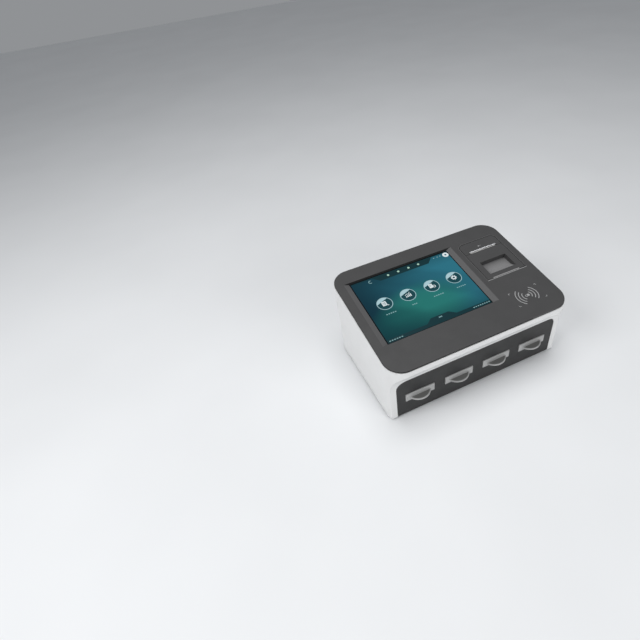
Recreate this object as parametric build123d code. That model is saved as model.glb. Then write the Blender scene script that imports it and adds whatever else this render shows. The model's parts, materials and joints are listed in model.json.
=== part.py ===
from build123d import *
from math import acos, atan2, cos, degrees, pi, radians, sin, sqrt, tan
import os

# A bench-top reader for rapid test cards. +X is the reader's right, +Y its back and +Z up.
# The origin is on the table, under the middle of the casing. Lengths are in millimetres.

# ---- casing ----
case_width = 300.0
case_depth = 212.0
deck_front_height = 111.0        # deck surface above the table at the front edge
deck_back_height = 141.0
foot_height = 3.0
corner_radius = 28.0
wall = 3.0
flange_depth = 15.0              # how far the front panel's flange stands back from the lip
cove_radius = 50.0
cove_start = 63.0                # height where the flange starts to curve forward
lip_round = 4.0
lip_blend = 0.05                 # the lip's rounding runs out this far ahead of the front face
ledge_width = 7.5
ledge_thickness = 3.0
base_thickness = 3.0
fit_gap = 0.2                    # between fixed pieces
slide_gap = 0.4                  # between sliding pieces
bearing_gap = 0.05               # radial, in bearings

# ---- front panel ----
panel_margin = 12.0              # white flange beside the dark panel
panel_top = 77.5
panel_corner = 16.0
panel_thickness = 2.4
panel_recess = 0.5
panel_lip = 5.0                  # hidden rim behind the casing's flange

# ---- deck plate, along the slope (s) from the front edge and above the deck (h) ----
deck_thickness = 3.0
deck_inset = 0.4
deck_screw_shares = (0.25, 0.5, 0.75)
shadow_inset = 1.6
shadow_height = 1.0
deck_edge_round = 0.8
screen_side_margin = 22.5        # from the casing's left side
screen_to_printer = 18.1         # from the screen to the printer's opening
screen_front = 53.0
screen_back_margin = 29.6        # from the deck's back edge
side_bevel = 8.5
end_bevel = 1.2
glass_margin = 4.0
glass_thickness = 2.0
display_inset = 3.0
display_thickness = 7.0
bracket_sheet = 1.2
bracket_reach = 3.0

# ---- trays ----
tray_count = 4
tray_side_margin = 50.4          # from the casing's side to the middle of the end tray
tray_front_width = 48.0
tray_front_height = 14.0
tray_front_bottom = 30.5
tray_front_thickness = 2.9
tray_front_proud = 1.5
window_gap = 0.4
tab_chord = 35.0
tab_reach = 11.0
tab_thickness = 2.4
tab_top_above_bottom = 6.8
tray_width = 44.0
tray_length = 98.0
tray_height = 13.0
tray_travel = 70.0
tray_rail = 1.4
tray_rail_height = 2.4
tray_rail_bottom = 5.0
card_width = 24.0
card_length = 72.0
card_depth = 6.0
card_front = 6.0                 # wall in front of the card pocket
stop_width = 4.0
stop_offset = 16.0

# ---- rack ----
rack_floor = 2.5
rack_side = 4.0
rack_leg_radius = 5.0
rack_rib = 3.0
cover_gap = 2.1
cover_thickness = 2.4
reading_width = 12.0
reading_length = 34.0
reading_front = 26.0             # from the rack's front to the reading windows

# ---- scanner ----
carriage_width = 30.0
carriage_depth = 50.0
carriage_bottom_gap = 3.0
carriage_height = 14.0
rail_radius = 2.5
rail_spacing = 40.0
scan_line = 41.5                 # middle of the carriage behind the rack's front
screw_radius = 3.0
end_plate = 2.0
end_plate_height = 19.0
scan_motor_size = 20.0
lens_radius = 5.0
lens_gap = 1.5
board_thickness = 1.6

# ---- printer; places along the slope are measured from the front of its opening ----
printer_side_margin = 13.1       # from the casing's right side to the opening
printer_back_margin = 33.2       # from the deck's back edge to the opening
opening_width = 70.8
opening_length = 88.5
opening_round = 10.0
lid_gap = 0.7
lid_thickness = 2.4
lid_length = 63.1
hinge_inset = 3.6
hinge_radius = 3.2
hinge_pin_radius = 1.5
pocket_width = 48.0
pocket_inset = 10.6
pocket_length = 28.5
pocket_slope = 14.5              # length of the pocket's sloping front
pocket_depth = 7.5
pocket_wall = 1.6
bezel_inset = 67.6
tear_thickness = 1.6
tear_proud = 0.6
tear_height = 4.1
paper_width = 48.0
paper_thickness = 0.3
paper_gap = 0.4
paper_end_depth = 0.5            # the paper's end lies below the deck
roll_radius = 20.0
roll_inset = 35.6
roll_h = -32.0
core_radius = 6.3
spindle_radius = 6.0
platen_inset = 56.1
platen_h = -10.5
platen_radius = 4.5
platen_shaft_radius = 2.0
nip_tilt = 20.0
head_height = 14.0
head_below = 9.0
head_thickness = 3.0
heat_sink_thickness = 3.0
head_spring_length = 4.0
head_spring_radius = 2.0
frame_wall = 2.0
cheek_inner = 25.5
frame_depth = 56.0
arm_inner = 28.6
arm_thickness = 2.5
gear_inner = 31.6
gear_width = 3.0
gear_module = 0.6
platen_teeth = 18
idler_teeth = 44
pinion_teeth = 12
motor_radius = 8.0
motor_length = 21.0
motor_shaft_radius = 1.5
axle_radius = 2.0
ear_length = 8.0

# ---- rear and inside ----
rear_left_margin = 36.0
rear_right_margin = 86.0
rear_bottom = 14.0
rear_height = 36.0
rear_panel_thickness = 2.0
rear_panel_rim = 4.0
main_board_height = 20.0
main_board_margin = 14.0         # from the casing's left side
main_board_inset = 6.0           # in front of the rear wall
behind_rack = 10.1               # clear space behind the tray rack
lan_inset = 22.0                 # from the rear opening's left end
usb_inset = 50.0
switch_inset = 16.0              # from the rear opening's right end
jack_inset = 38.0
cable_inset = 50.0               # from the main board's left end
fan_offset = 130.0               # from the casing's left side
fan_size = 50.0
fan_thickness = 12.0
fan_middle = 84.0
fan_bore = 23.4
fan_blade_gap = 1.4
fan_hub = 10.0
supply_margin = 24.0             # from the casing's right side
supply_inset = 12.0              # in front of the rear wall
supply_width = 68.0
supply_height = 30.0
supply_vent_inset = 50.0
sheet = 1.2
speaker_bay = 38.0               # between the main board and the power supply
speaker_radius = 15.0
speaker_height = 8.0
speaker_inset = 52.0             # in front of the casing's back
antenna_offset = -2.0            # from the printer's centre line
antenna_s = 41.0
antenna_width = 56.0
antenna_length = 36.0

# ---- feet and fasteners ----
foot_radius = 8.0
foot_seat = 1.0
foot_inset = 34.0
column_inset = 16.0
column_radius = 5.0
column_height = 40.0
screw_shank = 1.4
screw_head = 2.8
screw_head_height = 1.8
screw_hole_gap = 0.1
boss_radius = 2.4
post_radius = 3.2

# ---- sockets on the back ----
port_z = 30.0
port_proud = 0.5                 # how far the sockets stand past the rear panel's face
lan_size = (16.0, 20.0, 13.4)
usb_size = (14.4, 18.0, 15.6)
jack_radius = 5.5
switch_width = 14.0
switch_height = 22.0
switch_depth = 16.0
switch_z = 32.0
rocker_tilt = 8.0                # degrees either side of level

# ---- places worked out from the sizes above ----
half_width = case_width / 2
front_y = -case_depth / 2
back_y = case_depth / 2
flange_y = front_y + flange_depth
panel_y = flange_y + panel_recess
panel_back = flange_y + wall
base_top = foot_height + base_thickness
deck_tilt = atan2(deck_back_height - deck_front_height, case_depth)
deck_frame = Plane(
    origin=(0, front_y, deck_front_height), x_dir=(1, 0, 0), z_dir=(0, -sin(deck_tilt), cos(deck_tilt))
).location

deck_length = case_depth / cos(deck_tilt)
printer_x = half_width - printer_side_margin - opening_width / 2
opening_back = deck_length - printer_back_margin
opening_front = opening_back - opening_length
screen_left = -half_width + screen_side_margin
screen_width = printer_x - opening_width / 2 - screen_to_printer - screen_left
screen_length = deck_length - screen_back_margin - screen_front
antenna_x = printer_x + antenna_offset

tray_pitch = (case_width - 2 * tray_side_margin) / (tray_count - 1)
tray_places = [(i - (tray_count - 1) / 2) * tray_pitch for i in range(tray_count)]
tray_front_y = panel_y - tray_front_proud
carrier_front = tray_front_y + tray_front_thickness
carrier_bottom = tray_front_bottom
carrier_top = carrier_bottom + tray_height
rack_front = panel_back + panel_thickness + 2 * fit_gap
rack_back = carrier_front + tray_length + rack_side + 2
rack_half = tray_places[-1] + tray_width / 2 + rack_side + slide_gap
rack_top = carrier_top + cover_gap
rack_floor_top = carrier_bottom - 0.3
rack_bottom = rack_floor_top - rack_floor
cover_top = rack_top + cover_thickness

scan_y = rack_front + scan_line
carriage_bottom = cover_top + carriage_bottom_gap
rail_z = carriage_bottom + carriage_height * 0.4
lead_z = carriage_bottom + carriage_height * 0.72
plate_x = tray_places[-1] + carriage_width / 2 + 6

hinge_s = opening_front + hinge_inset
lid_back = opening_front + lid_length
pocket_front = opening_front + pocket_inset
pocket_back = pocket_front + pocket_length
pocket_flat = pocket_front + pocket_slope
bezel_front = opening_front + bezel_inset
roll_s = opening_front + roll_inset
platen_s = opening_front + platen_inset
opening_half = opening_width / 2
lid_half = opening_half - lid_gap
frame_half = opening_half + lid_gap / 2
hinge_h = -hinge_radius
platen_pitch = gear_module * platen_teeth / 2
idler_pitch = gear_module * idler_teeth / 2
pinion_pitch = gear_module * pinion_teeth / 2
lift = atan2(platen_h - hinge_h, platen_s - hinge_s) + pi / 2
idler_s = platen_s - cos(lift) * (platen_pitch + idler_pitch)
idler_h = platen_h - sin(lift) * (platen_pitch + idler_pitch)
pinion_s = idler_s + idler_pitch + pinion_pitch
pinion_h = idler_h
nip_frame = Pos(printer_x, platen_s, platen_h) * Rot(-nip_tilt, 0, 0)
head_front = platen_radius + paper_gap + paper_thickness
port_face = back_y - wall + port_proud
rear_left = -half_width + rear_left_margin
rear_width = half_width - rear_right_margin - rear_left
lan_x = rear_left + lan_inset
usb_x = rear_left + usb_inset
switch_x = rear_left + rear_width - switch_inset
jack_x = rear_left + rear_width - jack_inset
fan_x = -half_width + fan_offset
supply_left = half_width - supply_margin - supply_width
supply_back = back_y - wall - supply_inset
supply_front = rack_back + behind_rack
main_board_left = -half_width + main_board_margin
main_board_right = supply_left - speaker_bay
cable_x = main_board_left + cable_inset
board_front = rack_back + behind_rack
board_back = back_y - wall - main_board_inset
board_top = main_board_height + board_thickness

os.makedirs("parts", exist_ok=True)


# ---- helpers ----
def block(x, y, z):
    """A box between three pairs of limits."""
    size = [high - low for low, high in (x, y, z)]
    middle = [(high + low) / 2 for low, high in (x, y, z)]
    return Pos(*middle) * Box(*size)


def rod_x(radius, x, y, z):
    """A rod along X between two limits."""
    return Pos((x[0] + x[1]) / 2, y, z) * Cylinder(radius, x[1] - x[0], rotation=(0, 90, 0))


def rod_y(radius, y, x, z):
    """A rod along Y between two limits."""
    return Pos(x, (y[0] + y[1]) / 2, z) * Cylinder(radius, y[1] - y[0], rotation=(90, 0, 0))


def rod_z(radius, z, x, y):
    """A rod along Z between two limits."""
    return Pos(x, y, (z[0] + z[1]) / 2) * Cylinder(radius, z[1] - z[0])


def side_profile(points_or_face, x):
    """A face drawn in Y and Z, or its corner points, drawn out along X between two limits."""
    face = points_or_face
    if isinstance(face, list):
        face = Polygon(*face, align=None)
    return Pos(x[0], 0, 0) * extrude(Plane.YZ * face, amount=x[1] - x[0])


def about(middle, half):
    """Limits that lie evenly about a middle."""
    return (middle - half, middle + half)


def joined(solids):
    """One solid from overlapping or touching ones."""
    whole = solids[0]
    for solid in solids[1:]:
        whole = whole + solid
    return whole


def group(solids):
    """Separate solids kept together as one node."""
    return Compound(children=[solid.solid() for solid in solids])


def save(node, shape):
    """Write one sub-part."""
    export_step(shape, f"parts/{node}.step")


def plan_prism(inset, z):
    """The casing's outline, drawn in by an inset, between two heights."""
    outline = RectangleRounded(case_width - 2 * inset, case_depth - 2 * inset, corner_radius - inset)
    return Pos(0, 0, z[0]) * extrude(outline, amount=z[1] - z[0])


def deck_slab(low, high):
    """The space between two heights measured square to the deck."""
    return deck_frame * block((-2 * case_width, 2 * case_width), (-case_depth, 2 * case_depth), (low, high))


def screw(head_top, direction=1, length=8.0):
    """A pan-head screw whose head sits on Z = head_top and whose shank points along the direction."""
    head_low = head_top - direction * screw_head_height
    head = rod_z(screw_head, sorted((head_low, head_top)), 0, 0)
    shank = rod_z(screw_shank, sorted((head_top, head_top + direction * length)), 0, 0)
    return head + shank


def gear_blank(teeth, phase):
    """A flat spur gear's outline with straight-flanked teeth, turned by a phase in degrees."""
    pitch = gear_module * teeth / 2
    outer = pitch + gear_module * 0.9
    root = pitch - gear_module * 1.15
    step = 2 * pi / teeth
    corners = []
    for tooth in range(teeth):
        middle = tooth * step + radians(phase)
        for radius, share in ((root, -0.33), (outer, -0.11), (outer, 0.11), (root, 0.33)):
            angle = middle + share * step
            corners.append((radius * cos(angle), radius * sin(angle)))
    return Polygon(*corners, align=None)


def gear(teeth, bore, phase, s, h):
    """A gear in deck coordinates whose axis lies along X."""
    outline = gear_blank(teeth, phase) - Circle(bore)
    x_low = printer_x + gear_inner
    return Pos(x_low, s, h) * extrude(Plane.YZ * outline, amount=gear_width)


# ---- casing ----
def cove_space(grow, rounded):
    """The open space under the front lip, grown into the casing by a wall."""
    centre_y = flange_y - cove_radius
    radius = cove_radius + grow

    def on_cove(angle):
        return (centre_y + radius * cos(angle), cove_start + radius * sin(angle))

    turn = acos((front_y - lip_blend + grow - centre_y) / radius)
    start = (flange_y + grow, cove_start)
    middle = on_cove(turn / 2)
    tip = on_cove(turn)
    above = (tip[0], tip[1] + 3 * lip_round)
    ahead = front_y - 2 * flange_depth
    low = -2 * base_thickness
    outline = (
        ThreePointArc(start, middle, tip)
        + Line(tip, above)
        + Line(above, (ahead, above[1]))
        + Line((ahead, above[1]), (ahead, low))
        + Line((ahead, low), (flange_y + grow, low))
        + Line((flange_y + grow, low), start)
    )
    face = make_face(outline.edges())
    if rounded:
        face = fillet(face.vertices().sort_by_distance(Vector(tip[0], tip[1], 0))[0], lip_round)
    return side_profile(face, (-case_width, case_width))


def panel_outline(grow, y):
    """The front panel's arched outline between two places along Y."""
    width = case_width - 2 * panel_margin + 2 * grow
    top = panel_top + grow
    height = 2 * top
    outline = RectangleRounded(width, height, panel_corner + grow)
    return Pos(0, y[1], 0) * extrude(Plane.XZ * outline, amount=y[1] - y[0])


def column_places():
    """Where the casing's four screw columns stand."""
    x = half_width - column_inset
    return [(side * x, y) for side in (-1, 1) for y in (rack_front + 10, back_y - column_inset)]


def deck_screw_places():
    """Where the deck plate is screwed to the casing's ledge, as x and s."""
    x = half_width - wall - ledge_width / 2
    return [(side * x, share * case_depth) for side in (-1, 1) for share in deck_screw_shares]


def column(x, y):
    """One screw column with the rib that ties it to the side wall."""
    side = 1 if x > 0 else -1
    top = base_top + column_height
    post = rod_z(column_radius, (base_top, top), x, y)
    reach = half_width - wall / 2
    rib = block(sorted((x, side * reach)), about(y, wall / 2), (base_top, top))
    hole = rod_z(screw_shank + screw_hole_gap, (base_top, base_top + 14), x, y)
    return (post + rib - hole) & plan_prism(wall / 2, (base_top, top))


def fan_slots():
    """Upright air slots in the rear wall behind the fan."""
    slots = []
    for i in range(7):
        x = fan_x + (i - 3) * 6
        slots.append(block(about(x, 1.6), (back_y - 2 * wall, back_y + wall), about(fan_middle, 20)))
    return slots


def upper_casing():
    body = plan_prism(0, (foot_height, deck_back_height))
    body = body - deck_slab(-deck_thickness, case_depth)
    under_ledge = -deck_thickness - ledge_thickness
    cavity = plan_prism(wall, (0, deck_back_height + 1)) - deck_slab(under_ledge, case_depth)
    cavity = cavity - cove_space(wall, False)
    mouth = plan_prism(wall + ledge_width, (cove_start, deck_back_height + 1))
    mouth = mouth & deck_slab(under_ledge - 0.5, case_depth)
    body = body - cavity - mouth - cove_space(0, True)
    body = body - panel_outline(0, (front_y - 10, panel_back + 0.5))
    through_back = (back_y - 2 * wall, back_y + wall)
    rear_z = (rear_bottom, rear_bottom + rear_height)
    body = body - block((rear_left, rear_left + rear_width), through_back, rear_z)
    for slot in fan_slots():
        body = body - slot
    for x, y in column_places():
        body = body + column(x, y)
    for x, s in deck_screw_places():
        hole = rod_z(boss_radius + fit_gap, (-20, 0), x, s)
        body = body - deck_frame * hole
    return body


def base_plate():
    plate = plan_prism(wall + fit_gap, (foot_height, base_top))
    front = panel_back + panel_thickness + fit_gap
    plate = plate - block((-case_width, case_width), (-case_depth, front), (0, case_depth))
    for x, y in column_places() + rack_legs():
        plate = plate - rod_z(screw_shank + screw_hole_gap, (0, base_top + 1), x, y)
        plate = plate - rod_z(screw_head + screw_hole_gap, (0, foot_height + screw_head_height), x, y)
    for x, y in foot_places():
        plate = plate - rod_z(foot_radius + fit_gap, (0, foot_height + foot_seat), x, y)
    for x, y in board_screw_places():
        post = rod_z(post_radius, (base_top, main_board_height), x, y)
        plate = plate + post
        plate = plate - rod_z(screw_shank + screw_hole_gap, (base_top + 2, main_board_height + 1), x, y)
    for i in range(5):
        y = speaker_y() + (i - 2) * 5
        plate = plate - block(about(speaker_x(), 9), about(y, 1.2), (0, base_top + 1))
    for i in range(8):
        x = supply_left + supply_width / 2 + (i - 3.5) * 7
        plate = plate - block(about(x, 1.5), about(back_y - supply_vent_inset, 18), (0, base_top + 1))
    return plate


def foot_places():
    x = half_width - foot_inset
    return [(side * x, end * (back_y - foot_inset)) for side in (-1, 1) for end in (-1, 1)]


def feet():
    pads = []
    for x, y in foot_places():
        pad = rod_z(foot_radius, (0, foot_height + foot_seat), x, y)
        pads.append(chamfer(pad.edges().sort_by(Axis.Z)[0], 0.8))
    return group(pads)


def base_screws():
    screws = []
    for x, y in column_places() + rack_legs():
        screws.append(Pos(x, y, 0) * screw(foot_height + screw_head_height, 1, 12.0))
    return group(screws)


def front_panel():
    plug = panel_outline(-fit_gap, (panel_y, panel_back)) & plan_prism(0, (foot_height, case_depth))
    rim = panel_outline(panel_lip, (panel_back, panel_back + panel_thickness)) & plan_prism(
        wall + fit_gap, (foot_height, case_depth)
    )
    panel = plug + rim
    for x in tray_places:
        half = tray_front_width / 2 + window_gap
        low = tray_front_bottom - window_gap
        high = tray_front_bottom + tray_front_height + window_gap
        panel = panel - block(about(x, half), (panel_y - 5, rack_front + 5), (low, high))
    return panel


def deck_plate():
    plate = plan_prism(deck_inset, (cove_start, deck_back_height + 1))
    plate = plate & deck_slab(shadow_height - deck_thickness, 0)
    upward = Axis((0, 0, 0), (0, -sin(deck_tilt), cos(deck_tilt)))
    rim = plate.faces().sort_by(upward)[-1].outer_wire().edges()
    plate = fillet(rim, deck_edge_round)
    foot = plan_prism(shadow_inset, (cove_start, deck_back_height + 1)) & deck_slab(
        -deck_thickness, shadow_height - deck_thickness
    )
    plate = plate + foot
    plate = plate - deck_frame * screen_opening()
    plate = plate - deck_frame * printer_opening()
    for x, s in deck_screw_places():
        boss = rod_z(boss_radius, (-deck_thickness - ledge_thickness, -deck_thickness), x, s)
        hole = rod_z(screw_shank + screw_hole_gap, (-deck_thickness - ledge_thickness, -1), x, s)
        plate = plate + deck_frame * boss
        plate = plate - deck_frame * hole
    for x, s in printer_ear_places():
        plate = plate - deck_frame * rod_z(screw_shank + screw_hole_gap, (-deck_thickness, -0.9), x, s)
    for side in (-1, 1):
        ends = (printer_x + side * (opening_half - 1), printer_x + side * (frame_half + frame_wall + fit_gap))
        plate = plate - deck_frame * rod_x(hinge_pin_radius + fit_gap, sorted(ends), hinge_s, hinge_h)
    return plate


def screen_opening():
    x = screen_left + screen_width / 2
    s = screen_front + screen_length / 2
    top = Rectangle(screen_width + 2 * side_bevel, screen_length + 2 * end_bevel)
    bottom = Rectangle(screen_width, screen_length)
    return loft([Pos(x, s, 0) * top, Pos(x, s, -deck_thickness) * bottom])


def printer_opening():
    length = opening_back - opening_front
    middle = (opening_back + opening_front) / 2
    cut = extrude(Rectangle(opening_width, length), amount=4 * deck_thickness)
    cut = Pos(printer_x, middle, -2 * deck_thickness) * cut
    corners = cut.edges().filter_by(Axis.Z).sort_by(Axis.Y)[-2:]
    return fillet(corners, opening_round)


def deck_screws():
    screws = []
    for x, s in deck_screw_places():
        screws.append(deck_frame * Pos(x, s, 0) * screw(-deck_thickness - ledge_thickness, 1, 4.5))
    return group(screws)


# ---- display ----
def touch_glass():
    x = (screen_left - glass_margin, screen_left + screen_width + glass_margin)
    s = (screen_front - glass_margin, screen_front + screen_length + glass_margin)
    return deck_frame * block(x, s, (-deck_thickness - glass_thickness, -deck_thickness))


def display_panel():
    x = (screen_left + display_inset, screen_left + screen_width - display_inset)
    s = (screen_front + display_inset, screen_front + screen_length - display_inset)
    top = -deck_thickness - glass_thickness
    return deck_frame * block(x, s, (top - display_thickness, top))


def display_bracket():
    top = -deck_thickness
    seat = top - glass_thickness - display_thickness
    inner = (screen_left - glass_margin - fit_gap, screen_left + screen_width + glass_margin + fit_gap)
    s = (screen_front, screen_front + screen_length)
    pan = block((inner[0] - bracket_sheet, inner[1] + bracket_sheet), s, (seat - bracket_sheet, seat))
    pan = pan - block((inner[0] + 26, inner[1] - 26), (s[0] + 24, s[1] - 24), (seat - 5, seat + 1))
    parts = [pan]
    for edge, side in ((inner[0], -1), (inner[1], 1)):
        outer = edge + side * bracket_sheet
        parts.append(block(sorted((edge, outer)), s, (seat - bracket_sheet, top)))
        parts.append(block(sorted((edge, outer + side * bracket_reach)), s, (top - bracket_sheet, top)))
    return deck_frame * joined(parts)


# ---- trays ----
def tray_front(x):
    """A tray's front plate with its half-moon thumb tab."""
    z = (tray_front_bottom, tray_front_bottom + tray_front_height)
    plate = block(about(x, tray_front_width / 2), (tray_front_y, carrier_front), z)
    plate = fillet(plate.faces().sort_by(Axis.Y)[0].edges(), 0.7)
    radius = ((tab_chord / 2) ** 2 + tab_reach**2) / (2 * tab_reach)
    top = tray_front_bottom + tab_top_above_bottom
    centre = tray_front_y - tab_reach + radius
    moon = rod_z(radius, (top - tab_thickness, top), x, centre)
    moon = moon - block(about(x, 2 * radius), (tray_front_y, centre + 2 * radius), (0, case_depth))
    rim = moon.edges().filter_by(GeomType.CIRCLE)
    moon = fillet(rim, 0.8)
    root = block(about(x, tab_chord / 2 - 1.5), about(tray_front_y, 0.8), (top - tab_thickness, top))
    return plate + moon + root


def tray_carrier(x):
    """The sliding channel behind a tray's front, with a pocket for one test card."""
    y = (carrier_front, carrier_front + tray_length)
    body = block(about(x, tray_width / 2), y, (carrier_bottom, carrier_top))
    pocket_y = (y[0] + card_front, y[0] + card_front + card_length)
    body = body - block(about(x, card_width / 2), pocket_y, (carrier_top - card_depth, carrier_top + 1))
    body = body - block(
        about(x, tray_width / 2 - 2), (y[0] + 2, y[1] - 2), (carrier_bottom - 1, carrier_top - card_depth - 2)
    )
    rail_z_limits = (carrier_bottom + tray_rail_bottom, carrier_bottom + tray_rail_bottom + tray_rail_height)
    rails = block(about(x, tray_width / 2 + tray_rail), (y[0] + card_front, y[1]), rail_z_limits)
    rails = rails - block(about(x, tray_width / 2 - 1), (y[0], y[1] + 1), rail_z_limits)
    stop_y = (y[1] - 6, y[1] - 2)
    stop = block(about(x + stop_offset, stop_width / 2), stop_y, (carrier_top - 1, cover_top - 1))
    return body + rails + stop


def rack_legs():
    """Where the rack's four legs stand on the base plate."""
    x = (tray_places[0] + tray_places[1]) / 2
    return [(side * x, y) for side in (-1, 1) for y in (rack_front + 16, rack_back - 12)]


def tray_rack():
    """The moulded bays that the trays run in."""
    y = (rack_front, rack_back)
    body = block(about(0, rack_half), y, (rack_bottom, rack_top))
    for x in tray_places:
        bay_y = (y[0] - 1, y[1] - rack_side)
        body = body - block(about(x, tray_width / 2 + slide_gap), bay_y, (rack_floor_top, rack_top + 1))
        groove = (
            carrier_bottom + tray_rail_bottom - slide_gap,
            carrier_bottom + tray_rail_bottom + tray_rail_height + slide_gap,
        )
        body = body - block(about(x, tray_width / 2 + tray_rail + slide_gap), bay_y, groove)
    divider = tray_pitch - tray_width - 2 * slide_gap - 2 * tray_rail - 4
    for left, right in zip(tray_places, tray_places[1:]):
        x = (left + right) / 2
        hollow_y = (y[0] + 24, y[1] - 20)
        body = body - block(about(x, divider / 2), hollow_y, (rack_bottom - 1, rack_top - 2))
    for x, y_leg in rack_legs():
        body = body + rod_z(rack_leg_radius, (base_top, rack_bottom + 1), x, y_leg)
        body = body - rod_z(screw_shank + screw_hole_gap, (0, base_top + 14), x, y_leg)
    for x in about(0, rack_half - rack_rib / 2):
        body = body + block(about(x, rack_rib / 2), (y[0] + 4, y[1] - 4), (base_top, rack_bottom + 1))
    for x, y_screw in cover_screw_places():
        body = body - rod_z(screw_shank + screw_hole_gap, (rack_top - 10, rack_top + 1), x, y_screw)
    return body


def cover_screw_places():
    xs = [(left + right) / 2 for left, right in zip(tray_places, tray_places[1:])]
    return [(x, y) for x in xs for y in (rack_front + 5, rack_back - 7)]


def rack_cover():
    y = (rack_front, rack_back)
    plate = block(about(0, rack_half), y, (rack_top, cover_top))
    reading = (rack_front + reading_front, rack_front + reading_front + reading_length)
    stop_front = carrier_front + tray_length - 6 - tray_travel - 0.5
    through = (rack_top - 1, cover_top + 1)
    stop_y = (stop_front, carrier_front + tray_length)
    for x in tray_places:
        plate = plate - block(about(x, reading_width / 2), reading, through)
        plate = plate - block(about(x + stop_offset, stop_width / 2 + slide_gap), stop_y, through)
    for x, y_screw in cover_screw_places():
        plate = plate - rod_z(screw_shank + screw_hole_gap, (rack_top - 1, cover_top + 1), x, y_screw)
    return plate


# ---- scanner ----
def rail_places():
    return about(scan_y, rail_spacing / 2)


def scan_end_plates():
    plates = []
    for side in (-1, 1):
        inner = side * plate_x
        outer = side * (plate_x + end_plate)
        y = about(scan_y, carriage_depth / 2 + 2)
        web = block(sorted((inner, outer)), y, (cover_top, cover_top + end_plate_height))
        toe = block(sorted((inner, inner - side * 8)), y, (cover_top, cover_top + end_plate))
        toe = toe & block(about(0, rack_half), (-case_depth, case_depth), (0, case_depth))
        plate = web + toe
        for rail_y in rail_places():
            plate = plate - rod_x(rail_radius, sorted((inner - side, outer + side)), rail_y, rail_z)
        gap = bearing_gap if side < 0 else 0.5
        plate = plate - rod_x(screw_radius + gap, sorted((inner - side, outer + side)), scan_y, lead_z)
        plates.append(plate)
    return group(plates)


def scan_rails():
    reach = plate_x + end_plate
    return group([rod_x(rail_radius, (-reach, reach), y, rail_z) for y in rail_places()])


def scan_carriage():
    x = tray_places[0]
    z = (carriage_bottom, carriage_bottom + carriage_height)
    body = block(about(x, carriage_width / 2), about(scan_y, carriage_depth / 2), z)
    hollow_y = about(scan_y, rail_spacing / 2 - 7)
    body = body - block(about(x, carriage_width / 2 - 2), hollow_y, (z[0] - 1, lead_z - 6))
    reach = about(x, carriage_width)
    for y in rail_places():
        body = body - rod_x(rail_radius + bearing_gap, reach, y, rail_z)
    body = body - rod_x(screw_radius + bearing_gap, reach, scan_y, lead_z)
    tube = rod_z(lens_radius + 2, (carriage_bottom, lead_z - 6 + 1), x, scan_y)
    return body + tube


def scan_lens():
    x = tray_places[0]
    barrel = rod_z(lens_radius, (cover_top + lens_gap, carriage_bottom), x, scan_y)
    return barrel - rod_z(lens_radius - 1.5, (0, cover_top + lens_gap + 1.2), x, scan_y)


def scan_board():
    x = tray_places[0]
    top = carriage_bottom + carriage_height
    y = about(scan_y, carriage_depth / 2 - 4)
    board = block(about(x, carriage_width / 2 - 2), y, (top, top + board_thickness))
    chip = block(about(x, 5), about(scan_y, 5), (top + board_thickness, top + board_thickness + 1.2))
    return board + chip


def lead_screw():
    left = -plate_x - end_plate
    right = plate_x + end_plate + 4
    return rod_x(screw_radius, (left, right), scan_y, lead_z)


def scan_motor():
    x = (plate_x + end_plate, plate_x + end_plate + scan_motor_size)
    half = scan_motor_size / 2
    body = block(x, about(scan_y, half), about(lead_z, half))
    body = chamfer(body.edges().filter_by(Axis.X), 1.5)
    return body - rod_x(screw_radius + 0.3, (x[0] - 1, x[0] + 4.5), scan_y, lead_z)


# ---- printer ----
def at_printer(low, high):
    """Limits along X measured from the printer's centre line."""
    return (printer_x + low, printer_x + high)


def printer_ear_places():
    """Where the printer's frame is screwed to the deck plate, as x and s."""
    low = opening_front - frame_wall - ear_length / 2
    high = opening_back + frame_wall + ear_length / 2 + 1
    return [(x, s) for x in at_printer(-24, 24) for s in (low, high)]


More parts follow.
